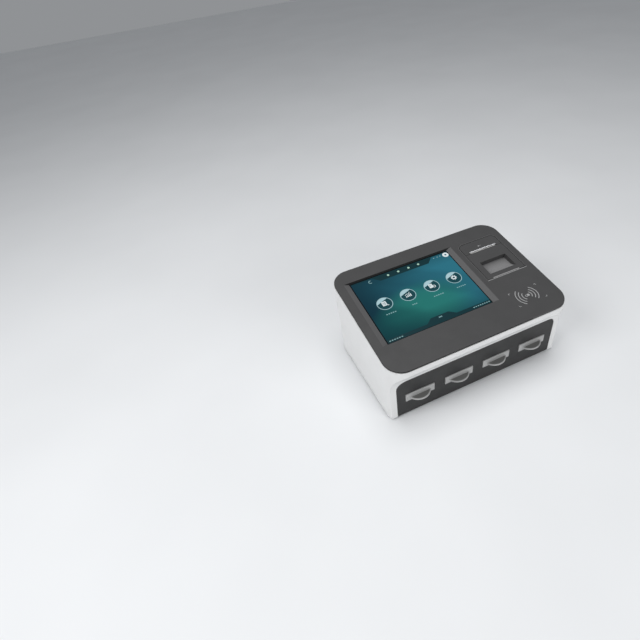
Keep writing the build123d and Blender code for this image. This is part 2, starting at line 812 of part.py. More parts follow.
def printer_frame():
    """The paper bin, its cheeks and the outer walls, hung under the deck plate."""
    top = -deck_thickness
    floor = -frame_depth
    outer_s = (opening_front - frame_wall, opening_back + 1 + frame_wall)
    outer_x = at_printer(-frame_half - frame_wall, frame_half + frame_wall)
    shell = block(outer_x, outer_s, (floor, top))
    inner_s = (opening_front, opening_back + 1)
    shell = shell - block(at_printer(-frame_half, frame_half), inner_s, (floor + frame_wall, top + 1))
    parts = [shell]
    cheek_top = -pocket_depth - pocket_wall - 1.1
    back_wall_s = pinion_s + motor_radius + 1.2
    shelf_s = (bezel_front + 6, opening_back + 1.5)
    shelf_x = at_printer(-frame_half - 0.5, frame_half + 0.5)
    parts.append(block(shelf_x, shelf_s, (top - frame_wall, top)))
    for side in (-1, 1):
        x = sorted((printer_x + side * cheek_inner, printer_x + side * (cheek_inner + frame_wall)))
        cheek = block(x, (opening_front - 1, back_wall_s + 1), (floor + 1, cheek_top))
        cheek = cheek + block(x, (platen_s - 7, back_wall_s + 1), (cheek_top - 1, top - 1.4))
        slot = block(x, about(platen_s, platen_shaft_radius + 1), (platen_h - platen_shaft_radius - 0.6, 0))
        cheek = cheek - slot
        cheek = cheek - block(x, about(roll_s, spindle_radius + fit_gap), (roll_h, 0))
        cheek = cheek - rod_x(spindle_radius + fit_gap, x, roll_s, roll_h)
        parts.append(cheek)
    between = at_printer(-cheek_inner - 1, cheek_inner + 1)
    parts.append(block(between, (back_wall_s, back_wall_s + frame_wall), (floor + 1, top - frame_wall)))
    support_y = head_front + head_thickness + heat_sink_thickness + head_spring_length
    support = block((-cheek_inner - 1, cheek_inner + 1), (support_y, support_y + frame_wall), (-3, 3.5))
    support = nip_frame * support
    parts.append(support)
    axle_x = at_printer(cheek_inner + 1, frame_half + 1)
    parts.append(rod_x(axle_radius, axle_x, idler_s, idler_h))
    for x, s in printer_ear_places():
        ear = list(about(s, ear_length / 2))
        if s < opening_front:
            ear[1] += frame_wall / 2
        else:
            ear[0] -= frame_wall / 2
        parts.append(block(about(x, 5), ear, (top - ledge_thickness, top)))
    frame = joined(parts)
    shaft_x = at_printer(cheek_inner - 1, cheek_inner + frame_wall + 1)
    frame = frame - rod_x(motor_shaft_radius + 0.4, shaft_x, pinion_s, pinion_h)
    for x, s in printer_ear_places():
        frame = frame - rod_z(screw_shank + screw_hole_gap, (top - ledge_thickness - 1, top + 1), x, s)
    for side in (-1, 1):
        x = sorted((printer_x + side * (frame_half - 1), printer_x + side * (frame_half + frame_wall + 1)))
        frame = frame - rod_x(hinge_pin_radius, x, hinge_s, hinge_h)
    return deck_frame * frame


def pocket_space(grow, x, top):
    """The finger pocket's space, grown by a wall, up to a height above the deck."""
    front = (pocket_front - grow, 0)
    flat = (pocket_flat - grow / 2, -pocket_depth - grow)
    sag = ((front[0] + flat[0]) / 2 - 1.6, (front[1] + flat[1]) / 2 - 1.6)
    back = pocket_back + grow
    outline = (
        ThreePointArc(front, sag, flat)
        + Line(flat, (back, flat[1]))
        + Line((back, flat[1]), (back, top))
        + Line((back, top), (front[0], top))
        + Line((front[0], top), front)
    )
    return side_profile(make_face(outline.edges()), x)


def printer_lid():
    skin = block(at_printer(-lid_half, lid_half), (hinge_s, lid_back), (-lid_thickness, 0))
    barrel = rod_x(hinge_radius, at_printer(-lid_half, lid_half), hinge_s, hinge_h)
    half = pocket_width / 2
    tub = pocket_space(pocket_wall, at_printer(-half - pocket_wall, half + pocket_wall), -lid_thickness / 2)
    parts = [skin, barrel, tub]
    for side in (-1, 1):
        x = sorted((printer_x + side * arm_inner, printer_x + side * (arm_inner + arm_thickness)))
        arm = block(x, about(platen_s, 4.4), (platen_h, -lid_thickness / 2))
        arm = arm + rod_x(4.4, x, platen_s, platen_h)
        parts.append(arm)
    lid = joined(parts)
    lid = lid - pocket_space(0, at_printer(-half, half), 1)
    lid = lid - rod_x(platen_shaft_radius + bearing_gap, at_printer(-lid_half, lid_half), platen_s, platen_h)
    for side in (-1, 1):
        x = sorted((printer_x + side * (lid_half - 9), printer_x + side * (lid_half + 1)))
        lid = lid - rod_x(hinge_pin_radius + bearing_gap, x, hinge_s, hinge_h)
    return deck_frame * lid


def lid_hinge_pins():
    pins = []
    for side in (-1, 1):
        x = sorted((printer_x + side * (lid_half - 8), printer_x + side * (frame_half + frame_wall)))
        pins.append(deck_frame * rod_x(hinge_pin_radius, x, hinge_s, hinge_h))
    return group(pins)


def printer_bezel():
    back = opening_back - lid_gap
    plate = block(at_printer(-lid_half, lid_half), (bezel_front, back), (-deck_thickness, 0))
    corners = plate.edges().filter_by(Axis.Z).sort_by(Axis.Y)[-2:]
    return deck_frame * fillet(corners, opening_round - lid_gap)


def tear_bar():
    half = paper_width / 2 + 1
    s = (bezel_front - tear_thickness, bezel_front)
    bar = block(at_printer(-half, half), s, (tear_proud - tear_height, tear_proud))
    edge = bar.edges().filter_by(Axis.X).group_by(Axis.Z)[-1].sort_by(Axis.Y)[0]
    return deck_frame * chamfer(edge, 0.8)


def platen_shaft():
    x = at_printer(-arm_inner - arm_thickness - 0.5, gear_inner + gear_width)
    return deck_frame * rod_x(platen_shaft_radius, x, platen_s, platen_h)


def platen_sleeve():
    x = at_printer(-paper_width / 2, paper_width / 2)
    sleeve = rod_x(platen_radius, x, platen_s, platen_h) - rod_x(platen_shaft_radius, x, platen_s, platen_h)
    return deck_frame * sleeve


def platen_gear():
    towards = degrees(atan2(idler_h - platen_h, idler_s - platen_s))
    return deck_frame * gear(platen_teeth, platen_shaft_radius, towards, platen_s, platen_h)


def idler_gear():
    towards = degrees(atan2(platen_h - idler_h, platen_s - idler_s))
    phase = towards + 180 / idler_teeth
    return deck_frame * gear(idler_teeth, axle_radius + bearing_gap, phase, idler_s, idler_h)


def motor_pinion():
    """The printer motor's pinion and shaft. A gap of the idler faces a tooth of the pinion."""
    towards = degrees(atan2(platen_h - idler_h, platen_s - idler_s))
    idler_phase = towards + 180 / idler_teeth
    offset = (0 - idler_phase) % (360 / idler_teeth)
    share = offset / (360 / idler_teeth)
    phase = 180 + (share + 0.5) * 360 / pinion_teeth
    toothed = Pos(printer_x + gear_inner, pinion_s, pinion_h) * extrude(
        Plane.YZ * gear_blank(pinion_teeth, phase), amount=gear_width
    )
    shaft_x = at_printer(cheek_inner - 3, gear_inner + gear_width)
    shaft = rod_x(motor_shaft_radius, shaft_x, pinion_s, pinion_h)
    return deck_frame * (toothed + shaft)


def printer_motor():
    x = at_printer(cheek_inner - motor_length, cheek_inner)
    body = rod_x(motor_radius, x, pinion_s, pinion_h)
    bore_x = at_printer(cheek_inner - 3.5, cheek_inner + 1)
    body = body - rod_x(motor_shaft_radius + bearing_gap, bore_x, pinion_s, pinion_h)
    return deck_frame * body


def thermal_head():
    half = cheek_inner - 0.4
    z = (-head_below, head_height - head_below)
    plate = block((-half, half), (head_front, head_front + head_thickness), z)
    sink_y = head_front + head_thickness
    sink = block((-half, half), (sink_y, sink_y + heat_sink_thickness), z)
    groove_y = (sink_y + 1.2, sink_y + heat_sink_thickness + 1)
    for i in range(7):
        x = (i - 3) * 6.4
        if abs(x) > 1:
            sink = sink - block(about(x, 1.1), groove_y, (z[0] - 1, -4))
    return deck_frame * nip_frame * (plate + sink)


def head_springs():
    y = head_front + head_thickness + heat_sink_thickness
    springs = []
    for x in (-16, 16):
        tube = rod_y(head_spring_radius, (y, y + head_spring_length), x, 0)
        tube = tube - rod_y(head_spring_radius - 0.7, (y - 1, y + head_spring_length + 1), x, 0)
        springs.append(deck_frame * nip_frame * tube)
    return group(springs)


def paper_strip():
    """The end of the paper from the roll, past the platen and out of the slot."""
    tilt = radians(nip_tilt)
    reach = platen_radius + paper_gap + paper_thickness / 2

    def in_nip(y, z):
        return (platen_s + y * cos(tilt) + z * sin(tilt), platen_h - y * sin(tilt) + z * cos(tilt))

    low = in_nip(reach, -head_below)
    nip = in_nip(reach, 0)
    top = (nip[0] + (-paper_end_depth - nip[1]) * tan(tilt), -paper_end_depth)
    radius = roll_radius + 0.5
    ds, dh = low[0] - roll_s, low[1] - roll_h
    distance = sqrt(ds**2 + dh**2)
    angle = atan2(dh, ds) - acos(radius / distance)
    leave = (roll_s + radius * cos(angle), roll_h + radius * sin(angle))
    strip = trace(Polyline(leave, low, top), line_width=paper_thickness)
    return deck_frame * side_profile(strip.face(), at_printer(-paper_width / 2, paper_width / 2))


def paper_roll():
    x = at_printer(-paper_width / 2, paper_width / 2)
    roll = rod_x(roll_radius, x, roll_s, roll_h) - rod_x(core_radius, x, roll_s, roll_h)
    return deck_frame * roll


def paper_spindle():
    reach = cheek_inner + frame_wall + 0.6
    return deck_frame * rod_x(spindle_radius, at_printer(-reach, reach), roll_s, roll_h)


# ---- rear ----
def rear_panel():
    x = (rear_left - rear_panel_rim, rear_left + rear_width + rear_panel_rim)
    z = (rear_bottom - rear_panel_rim, rear_bottom + rear_height + rear_panel_rim)
    y = (back_y - wall - rear_panel_thickness, back_y - wall)
    panel = block(x, y, z)
    panel = panel - lan_body_space(fit_gap) - usb_body_space(fit_gap)
    panel = panel - rod_y(jack_radius + fit_gap, (y[0] - 1, y[1] + 1), jack_x, port_z)
    switch_hole_z = about(switch_z, switch_height / 2 - 1)
    return panel - block(about(switch_x, switch_width / 2 - 1), (y[0] - 1, y[1] + 1), switch_hole_z)


def lan_body_space(grow):
    z = (board_top - grow, board_top + lan_size[2] + grow)
    return block(about(lan_x, lan_size[0] / 2 + grow), (port_face - lan_size[1], port_face), z)


def usb_body_space(grow):
    z = (board_top - grow, board_top + usb_size[2] + grow)
    return block(about(usb_x, usb_size[0] / 2 + grow), (port_face - usb_size[1], port_face), z)


def lan_socket():
    body = lan_body_space(0)
    z = (board_top + 2, board_top + 9)
    body = body - block(about(lan_x, 6), (port_face - 14, port_face + 1), z)
    return body - block(about(lan_x, 2.6), (port_face - 14, port_face + 1), (z[1] - 1, z[1] + 2.4))


def usb_sockets():
    body = usb_body_space(0)
    for z in (board_top + 1.4, board_top + 8.6):
        body = body - block(about(usb_x, 6.2), (port_face - 12, port_face + 1), (z, z + 5.2))
        body = body + block(about(usb_x, 5.4), (port_face - 13, port_face - 1), (z + 3.1, z + 4.9))
    return body


def dc_jack():
    body = rod_y(jack_radius, (port_face - 14, port_face), jack_x, port_z)
    body = body - rod_y(3.2, (port_face - 10, port_face + 1), jack_x, port_z)
    pin = rod_y(1.0, (port_face - 11, port_face - 1), jack_x, port_z)
    nut_y = (back_y - wall - rear_panel_thickness - 2, back_y - wall - rear_panel_thickness)
    nut = rod_y(jack_radius + 2, nut_y, jack_x, port_z) - rod_y(jack_radius, nut_y, jack_x, port_z)
    return body + pin + nut


def switch_body():
    y = (back_y - wall - rear_panel_thickness - switch_depth, back_y - wall - rear_panel_thickness)
    body = block(about(switch_x, switch_width / 2), y, about(switch_z, switch_height / 2))
    well_z = about(switch_z, switch_height / 2 - 2)
    body = body - block(about(switch_x, switch_width / 2 - 2), (y[1] - 8, y[1] + 1), well_z)
    pin = rod_x(1.2, about(switch_x, switch_width / 2 - 1), y[1] - 2, switch_z)
    return body + pin


def power_rocker():
    """The rocker, built level and then tilted to its off position."""
    pivot_y = back_y - wall - rear_panel_thickness - 2
    half = switch_height / 2 - 2.8
    x = about(switch_x, switch_width / 2 - 2.4)
    profile = [
        (pivot_y - 3, switch_z - 4),
        (pivot_y + 2, switch_z - half),
        (pivot_y + 3.6, switch_z - half),
        (pivot_y + 2.6, switch_z),
        (pivot_y + 3.6, switch_z + half),
        (pivot_y + 2, switch_z + half),
        (pivot_y - 3, switch_z + 4),
    ]
    rocker = side_profile(profile, x)
    rocker = rocker - rod_x(1.2 + bearing_gap, (x[0] - 1, x[1] + 1), pivot_y, switch_z)
    place = Pos(switch_x, pivot_y, switch_z)
    return place * Rot(-rocker_tilt, 0, 0) * Pos(-switch_x, -pivot_y, -switch_z) * rocker


def fan_frame():
    y = (back_y - wall - fan_thickness, back_y - wall)
    half = fan_size / 2
    body = block(about(fan_x, half), y, about(fan_middle, half))
    body = fillet(body.edges().filter_by(Axis.Y), 3)
    body = body - rod_y(fan_bore, (y[0] - 1, y[1] + 1), fan_x, fan_middle)
    for turn in (0, 90):
        spoke = block((-fan_bore - 1, fan_bore + 1), (y[0], y[0] + 1.6), (-1.5, 1.5))
        body = body + Pos(fan_x, 0, fan_middle) * Rot(0, turn + 45, 0) * spoke
    body = body + rod_y(fan_hub, (y[0], y[0] + 1.6), fan_x, fan_middle)
    body = body + rod_y(1.5, (y[0], y[1] - 2.5), fan_x, fan_middle)
    for x in about(fan_x, half - 4):
        for z in about(fan_middle, half - 4):
            body = body - rod_y(1.7, (y[0] - 1, y[1] + 1), x, z)
    return body


def fan_rotor():
    y = (back_y - wall - fan_thickness + 2.0, back_y - wall - 2.0)
    hub = rod_y(fan_hub, y, fan_x, fan_middle)
    blade_reach = fan_bore - fan_blade_gap
    middle_y = (y[0] + y[1]) / 2
    rotor = hub
    for i in range(7):
        blade = Rot(38, 0, 0) * Box(blade_reach - fan_hub + 1, 1.2, 9)
        blade = Pos((fan_hub + blade_reach) / 2 - 0.5, 0, 0) * blade
        rotor = rotor + Pos(fan_x, middle_y, fan_middle) * Rot(0, i * 360 / 7, 0) * blade
    return rotor - rod_y(1.5 + bearing_gap, (y[0] - 1, y[1] - 0.3), fan_x, fan_middle)


# ---- boards ----
def main_board():
    x = (main_board_left, main_board_right)
    y = (board_front, board_back)
    board = block(x, y, (main_board_height, board_top))
    for px, py in board_screw_places():
        board = board - rod_z(screw_shank + screw_hole_gap, (0, case_depth), px, py)
    return board - column_notch()


def column_notch():
    """Room for the casing's rear left column and its rib."""
    x, y = column_places()[1]
    notch = rod_z(column_radius + 1, (0, case_depth), x, y)
    return notch + block((-half_width, x), about(y, wall / 2 + 1), (0, case_depth))


def board_screw_places():
    x = (main_board_left + 22, main_board_right - 6)
    y = (board_front + 5, board_back - 6)
    return [(px, py) for px in x for py in y]


def inner_screws():
    """The screws that hold the rack's cover, the main board and the printer."""
    under_ears = -deck_thickness - ledge_thickness
    screws = [Pos(x, y, 0) * screw(cover_top, -1, 9.0) for x, y in cover_screw_places()]
    screws += [Pos(x, y, 0) * screw(board_top, -1, 8.0) for x, y in board_screw_places()]
    screws += [deck_frame * Pos(x, s, 0) * screw(under_ears, 1, 4.8) for x, s in printer_ear_places()]
    return group(screws)


def board_parts():
    """The larger parts on the main board: processor with heat sink, memory, coils, headers."""
    processor = (main_board_left + 30, 22, 20, 22, 6)
    memory = [(main_board_left + inset, 22, 12, 16, 1.6) for inset in (66, 86)]
    coil = (main_board_left + 109, 10, 14, 14, 8)
    cable_socket = (cable_x, 12, 16, 5, 3)
    side_socket = (main_board_left + 84, 5, 26, 4, 6)
    power_socket = (main_board_right - 18, 40, 8, 30, 9)
    fan_socket = (main_board_right - 20, 64, 12, 6, 8)
    parts = []
    for x, inward, width, depth, height in (
        [processor, coil, cable_socket, side_socket, power_socket, fan_socket] + memory
    ):
        middle = board_front + inward
        parts.append(block(about(x, width / 2), about(middle, depth / 2), (board_top, board_top + height)))
    return group(parts)


def display_cable():
    """The flat lead folded between the display and the main board."""
    sheet_thickness = 0.4
    y = board_front + 15
    s_exit = screen_front + screen_length - 26
    h_exit = -deck_thickness - glass_thickness - display_thickness - 0.4
    top = deck_frame * Pos(0, s_exit, h_exit)
    exit_y, exit_z = top.position.Y, top.position.Z
    low = board_top
    points = [(y, low + sheet_thickness / 2), (y + 6, low + 12), (exit_y - 4, exit_z - 12), (exit_y, exit_z)]
    strip = trace(Polyline(*points), line_width=sheet_thickness)
    return side_profile(strip.face(), about(cable_x, 7))


def supply_case():
    x = (supply_left, supply_left + supply_width)
    y = (supply_front, supply_back)
    z = (base_top, base_top + supply_height)
    case = block(x, y, z)
    case = case - block((x[0] + sheet, x[1] - sheet), (y[0] + sheet, y[1] + 1), (z[0] + sheet, z[1] - sheet))
    for i in range(8):
        slot_x = x[0] + 10 + i * (supply_width - 20) / 7
        case = case - block(about(slot_x, 1.2), (y[0] + 12, y[1] - 12), (z[1] - 2 * sheet, z[1] + 1))
    return case


def supply_board():
    x = (supply_left + 3, supply_left + supply_width - 3)
    y = (supply_front + 3, supply_back - 1)
    low = base_top + sheet
    board = block(x, y, (low + 3, low + 3 + board_thickness))
    top = low + 3 + board_thickness
    corners = [(px, py) for px in (x[0] + 4, x[1] - 4) for py in (y[0] + 4, y[1] - 4)]
    legs = [block(about(px, 2), about(py, 2), (low, low + 3)) for px, py in corners]
    coil = rod_z(9, (top, top + 12), x[0] + 16, y[0] + 16)
    block_part = block((x[0] + 32, x[0] + 54), (y[0] + 8, y[0] + 30), (top, top + 16))
    caps = [rod_z(5, (top, top + 18), x[0] + 10 + i * 13, y[1] - 12) for i in range(3)]
    return joined([board] + legs + [coil, block_part] + caps)


def speaker_x():
    return supply_left - speaker_bay / 2


def speaker_y():
    return back_y - speaker_inset


def speaker():
    x, y = speaker_x(), speaker_y()
    basket = rod_z(speaker_radius, (base_top, base_top + 3), x, y)
    basket = basket - rod_z(speaker_radius - 2, (base_top - 1, base_top + 1), x, y)
    magnet = rod_z(speaker_radius * 0.55, (base_top + 3, base_top + speaker_height), x, y)
    return basket + magnet


def card_antenna():
    s = about(antenna_s, antenna_length / 2)
    x = about(antenna_x, antenna_width / 2)
    board = block(x, s, (-deck_thickness - board_thickness, -deck_thickness))
    low = -deck_thickness - board_thickness
    half, reach = antenna_width / 2, antenna_length / 2
    ring = block(about(antenna_x, half - 3), about(antenna_s, reach - 3), (low - 0.4, low))
    ring = ring - block(about(antenna_x, half - 8), about(antenna_s, reach - 8), (low - 1, low))
    chip = block(about(antenna_x, 4), about(antenna_s, 4), (low - 1.2, low))
    return deck_frame * (board + ring + chip)


nodes = {
    "upper_casing": upper_casing,
    "base_plate": base_plate,
    "feet": feet,
    "base_screws": base_screws,
    "front_panel": front_panel,
    "deck_plate": deck_plate,
    "deck_screws": deck_screws,
    "touch_glass": touch_glass,
    "display_panel": display_panel,
    "display_bracket": display_bracket,
    "display_cable": display_cable,
    "tray_rack": tray_rack,
    "rack_cover": rack_cover,
    "scan_end_plates": scan_end_plates,
    "scan_rails": scan_rails,
    "scan_carriage": scan_carriage,
    "scan_lens": scan_lens,
    "scan_board": scan_board,
    "lead_screw": lead_screw,
    "scan_motor": scan_motor,
    "printer_frame": printer_frame,
    "printer_lid": printer_lid,
    "lid_hinge_pins": lid_hinge_pins,
    "printer_bezel": printer_bezel,
    "tear_bar": tear_bar,
    "platen_shaft": platen_shaft,
    "platen_sleeve": platen_sleeve,
    "platen_gear": platen_gear,
    "idler_gear": idler_gear,
    "motor_pinion": motor_pinion,
    "printer_motor": printer_motor,
    "thermal_head": thermal_head,
    "head_springs": head_springs,
    "paper_strip": paper_strip,
    "paper_roll": paper_roll,
    "paper_spindle": paper_spindle,
    "rear_panel": rear_panel,
    "lan_socket": lan_socket,
    "usb_sockets": usb_sockets,
    "dc_jack": dc_jack,
    "switch_body": switch_body,
    "power_rocker": power_rocker,
    "fan_frame": fan_frame,
    "fan_rotor": fan_rotor,
    "main_board": main_board,
    "inner_screws": inner_screws,
    "board_parts": board_parts,
    "supply_case": supply_case,
    "supply_board": supply_board,
    "speaker": speaker,
    "card_antenna": card_antenna,
}
for node, make in nodes.items():
    save(node, make())
for number, place in enumerate(tray_places, start=1):
    save(f"tray_{number}_front", tray_front(place))
    save(f"tray_{number}_carrier", tray_carrier(place))
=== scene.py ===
# A bench-top reader for rapid test cards, dressed for a studio picture. Metres, in the frame's axes:
# +X is the reader's right, +Y its back, +Z up, and the origin is on the table under its middle.
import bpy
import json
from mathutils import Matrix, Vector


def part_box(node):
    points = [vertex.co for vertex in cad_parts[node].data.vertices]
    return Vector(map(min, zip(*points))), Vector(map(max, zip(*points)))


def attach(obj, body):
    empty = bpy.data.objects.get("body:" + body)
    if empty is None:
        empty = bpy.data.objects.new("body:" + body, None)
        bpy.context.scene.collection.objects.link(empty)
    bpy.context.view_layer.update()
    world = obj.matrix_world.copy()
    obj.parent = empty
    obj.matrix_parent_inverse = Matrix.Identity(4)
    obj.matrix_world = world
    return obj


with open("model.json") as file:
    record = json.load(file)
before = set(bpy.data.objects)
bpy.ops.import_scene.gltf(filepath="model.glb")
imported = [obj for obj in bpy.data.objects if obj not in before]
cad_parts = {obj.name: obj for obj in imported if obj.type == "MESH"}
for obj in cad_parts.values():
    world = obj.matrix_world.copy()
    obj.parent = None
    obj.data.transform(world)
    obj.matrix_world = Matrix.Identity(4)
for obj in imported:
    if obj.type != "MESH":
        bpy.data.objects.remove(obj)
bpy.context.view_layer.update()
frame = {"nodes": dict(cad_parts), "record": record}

import json
from math import atan2, cos, degrees, pi, radians, sin

import bmesh
import bpy
from mathutils import Matrix, Vector

# ---- sizes repeated from the solids ----
case_width = 0.300
case_depth = 0.212
deck_front_height = 0.111
deck_back_height = 0.141
deck_thickness = 0.003
screen_side_margin = 0.0225      # from the casing's left side to the screen
screen_width = 0.1755
screen_front = 0.0530            # from the deck's front edge, up the slope
screen_back_margin = 0.0296
bevel_width = 0.0085             # the sloping strips beside the screen
printer_side_margin = 0.0131     # from the casing's right side to the printer's opening
printer_back_margin = 0.0332
opening_width = 0.0708
opening_length = 0.0885
opening_round = 0.010
lid_length = 0.0631
lid_gap = 0.0007
pocket_width = 0.048             # the finger pocket in the printer's lid
pocket_inset = 0.0106
pocket_length = 0.0285
bezel_inset = 0.0676
tear_bar_width = 0.050
tray_count = 4
tray_front_bottom = 0.0305
tab_top_above_bottom = 0.0068
tab_chord = 0.035                # a thumb tab's width where it meets the tray's front
tab_reach = 0.011
tab_rim = 0.0016                 # the bright edge left round a tab's darker face
tab_root_gap = 0.0007            # and the gap left beside the tray's front
rocker_pivot_y = 0.099
rocker_tilt = radians(8)
rocker_half = 0.0082             # length of each half of the rocker's face
rocker_rise = 0.001              # how far each half rises over that length

# ---- places worked out from them ----
deck_tilt = atan2(deck_back_height - deck_front_height, case_depth)
deck_length = case_depth / cos(deck_tilt)
screen_left = screen_side_margin - case_width / 2
screen_length = deck_length - screen_back_margin - screen_front
printer_x = case_width / 2 - printer_side_margin - opening_width / 2
opening_back = deck_length - printer_back_margin
opening_front = opening_back - opening_length
pocket_front = opening_front + pocket_inset
pocket_back = pocket_front + pocket_length
lid_back = opening_front + lid_length
bezel_front = opening_front + bezel_inset
tab_top = tray_front_bottom + tab_top_above_bottom

# ---- the screen's layout, from its front left corner, as shares of its width and length ----
border_x = 0.0095
border_y = 0.0125
icon_places = [0.180, 0.405, 0.641, 0.868]
icon_height = 0.545
label_height = 0.385
lamp_places = [0.365, 0.468, 0.573, 0.674]
lamp_height = 0.940
top_bar_edge = 0.975
top_bar_dip = 0.895
top_bar_turns = [0.215, 0.275, 0.765, 0.825]
low_bar_edge = 0.060
low_bar_rise = 0.118
low_bar_turns = [0.385, 0.440, 0.610, 0.665]
button_place = (0.968, 0.935)
spot_places = [0.840, 0.878, 0.908]
spot_height = 0.945
foot_height = 0.037
moon_place = (0.185, 0.930)

# ---- sizes of the marks ----
icon_radius = 0.0125
label_lengths = [0.0175, 0.009, 0.018, 0.0165]
dash_pitch = 0.0036
dash_share = 0.62                # how much of its pitch a dash fills
sheet_corner = 0.0006
ruled_pitch = 0.0020
ruled_width = 0.0007
printed = 0.00006                # thickness of printed and lit marks
clear = 0.00003                  # gap that keeps a mark off the face it lies on

# ---- surfaces that carry marks: their X runs right and their Y up the slope ----
deck = Matrix.Translation((0, -case_depth / 2, deck_front_height)) @ Matrix.Rotation(deck_tilt, 4, "X")
screen = deck @ Matrix.Translation((screen_left, screen_front, -deck_thickness))


# ---- flat shapes: each is a list of faces, and each face a list of (x, y) ----
def rectangle(x, y, width, height):
    """A rectangle about a middle."""
    left, right = x - width / 2, x + width / 2
    low, high = y - height / 2, y + height / 2
    return [[(left, low), (right, low), (right, high), (left, high)]]


def on_circle(x, y, radius, angle):
    """A point on a circle, with the angle in degrees."""
    return (x + radius * cos(radians(angle)), y + radius * sin(radians(angle)))


def disc(x, y, radius, sides=48):
    """A round spot."""
    return [[on_circle(x, y, radius, 360 * i / sides) for i in range(sides)]]


def arc(x, y, inner, outer, start, end, steps=24):
    """A band between two radii and two angles."""
    faces = []
    for i in range(steps):
        first = start + (end - start) * i / steps
        second = start + (end - start) * (i + 1) / steps
        faces.append([
            on_circle(x, y, inner, first),
            on_circle(x, y, outer, first),
            on_circle(x, y, outer, second),
            on_circle(x, y, inner, second),
        ])
    return faces


def ring(x, y, inner, outer, sides=64):
    """A full circle's band."""
    return arc(x, y, inner, outer, 0, 360, sides)


def rounded(x, y, width, height, radius, steps=6):
    """A rectangle with round corners."""
    points = []
    corners = [(1, 1, 0), (-1, 1, 90), (-1, -1, 180), (1, -1, 270)]
    for across, up, start in corners:
        middle_x = x + across * (width / 2 - radius)
        middle_y = y + up * (height / 2 - radius)
        for i in range(steps + 1):
            points.append(on_circle(middle_x, middle_y, radius, start + 90 * i / steps))
    return [points]


def segment(x, y, radius, start, end, steps=20):
    """The part of a disc beyond the chord between two angles."""
    return [[on_circle(x, y, radius, start + (end - start) * i / steps) for i in range(steps + 1)]]


def chord_angle(radius, distance):
    """Half the angle, in degrees, of the arc beyond a chord at a distance from the middle."""
    return degrees(atan2((radius**2 - distance**2) ** 0.5, distance))


def stroke(x1, y1, x2, y2, width):
    """A straight bar between two points."""
    angle = atan2(y2 - y1, x2 - x1)
    across = (-sin(angle) * width / 2, cos(angle) * width / 2)
    return [[
        (x1 - across[0], y1 - across[1]),
        (x2 - across[0], y2 - across[1]),
        (x2 + across[0], y2 + across[1]),
        (x1 + across[0], y1 + across[1]),
    ]]


# ---- pieces ----
def flat_piece(name, shapes, place, body, material, lift=clear, thickness=printed):
    """A thin solid of flat shapes laid on a surface, riding on a body."""
    mesh = bmesh.new()
    for faces in shapes:
        corners = {}
        for face in faces:
            loop = []
            for point in face:
                key = (round(point[0], 8), round(point[1], 8))
                if key not in corners:
                    corners[key] = mesh.verts.new((key[0], key[1], lift))
                if corners[key] not in loop:
                    loop.append(corners[key])
            mesh.faces.new(loop)
    grown = bmesh.ops.extrude_face_region(mesh, geom=mesh.faces[:])
    tops = [item for item in grown["geom"] if isinstance(item, bmesh.types.BMVert)]
    bmesh.ops.translate(mesh, verts=tops, vec=(0, 0, thickness))
    bmesh.ops.recalc_face_normals(mesh, faces=mesh.faces)
    bmesh.ops.transform(mesh, matrix=place, verts=mesh.verts)
    data = bpy.data.meshes.new(name)
    mesh.to_mesh(data)
    mesh.free()
    data.materials.append(material)
    piece = bpy.data.objects.new(name, data)
    bpy.context.collection.objects.link(piece)
    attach(piece, body)


def on_glass(name, shapes, material, layer=0):
    """A piece of the screen's picture, on top of a number of others."""
    flat_piece(name, shapes, screen, "chassis", material, clear + layer * printed)


def on_deck(name, shapes, material, lift=clear):
    """A flat mark on the deck, for print and for painted highlights."""
    flat_piece(name, shapes, deck, "chassis", material, lift)


# ---- shader helpers ----
def new_node(tree, kind, inputs=None, **settings):
    """A node whose inputs are set from numbers or linked from sockets."""
    made = tree.nodes.new(kind)
    for key, value in settings.items():
        setattr(made, key, value)
    for key, value in (inputs or {}).items():
        if isinstance(value, bpy.types.NodeSocket):
            tree.links.new(value, made.inputs[key])
        else:
            made.inputs[key].default_value = value
    return made


def blank_material(name):
    """A material with only its principled shader."""
    made = bpy.data.materials.new(name)
    made.use_nodes = True
    shader = made.node_tree.nodes["Principled BSDF"]
    return made, made.node_tree, shader


def place_of(tree, stretch=(1, 1, 1)):
    """The point being shaded, in metres, stretched to draw out a pattern."""
    point = new_node(tree, "ShaderNodeTexCoord").outputs["Object"]
    return new_node(tree, "ShaderNodeMapping", {"Vector": point, "Scale": stretch}).outputs["Vector"]


def place_on(tree, surface, size=(1, 1, 1)):
    """The point being shaded, from a sloping surface's origin, as shares of a size."""
    point = new_node(tree, "ShaderNodeTexCoord").outputs["Object"]
    origin = surface.to_translation()
    inputs = {"Vector": point, "Location": origin, "Rotation": (deck_tilt, 0, 0), "Scale": size}
    return new_node(tree, "ShaderNodeMapping", inputs, vector_type="TEXTURE").outputs["Vector"]


def noise(tree, point, size, detail=3.0):
    """Noise whose blotches are about this size in metres."""
    made = new_node(tree, "ShaderNodeTexNoise", {"Vector": point, "Scale": 1 / size, "Detail": detail})
    return made.outputs["Fac"]


def ramp(tree, value, start, end, low=0.0, high=1.0, kind="LINEAR"):
    """A value carried from one range to another, and held at its ends."""
    limits = {"Value": value, "From Min": start, "From Max": end, "To Min": low, "To Max": high}
    return new_node(tree, "ShaderNodeMapRange", limits, interpolation_type=kind).outputs["Result"]


def spread(tree, value, low=0.0, high=1.0):
    """Noise stretched to run between two numbers."""
    return ramp(tree, value, 0.3, 0.7, low, high)


def mix(tree, share, first, second):
    """A mix of two colours."""
    made = new_node(tree, "ShaderNodeMix", data_type="RGBA")
    for key, value in (("Factor", share), ("A", first), ("B", second)):
        socket = [item for item in made.inputs if item.name == key and item.enabled][0]
        if isinstance(value, bpy.types.NodeSocket):
            tree.links.new(value, socket)
        else:
            socket.default_value = value
    return [item for item in made.outputs if item.enabled][0]


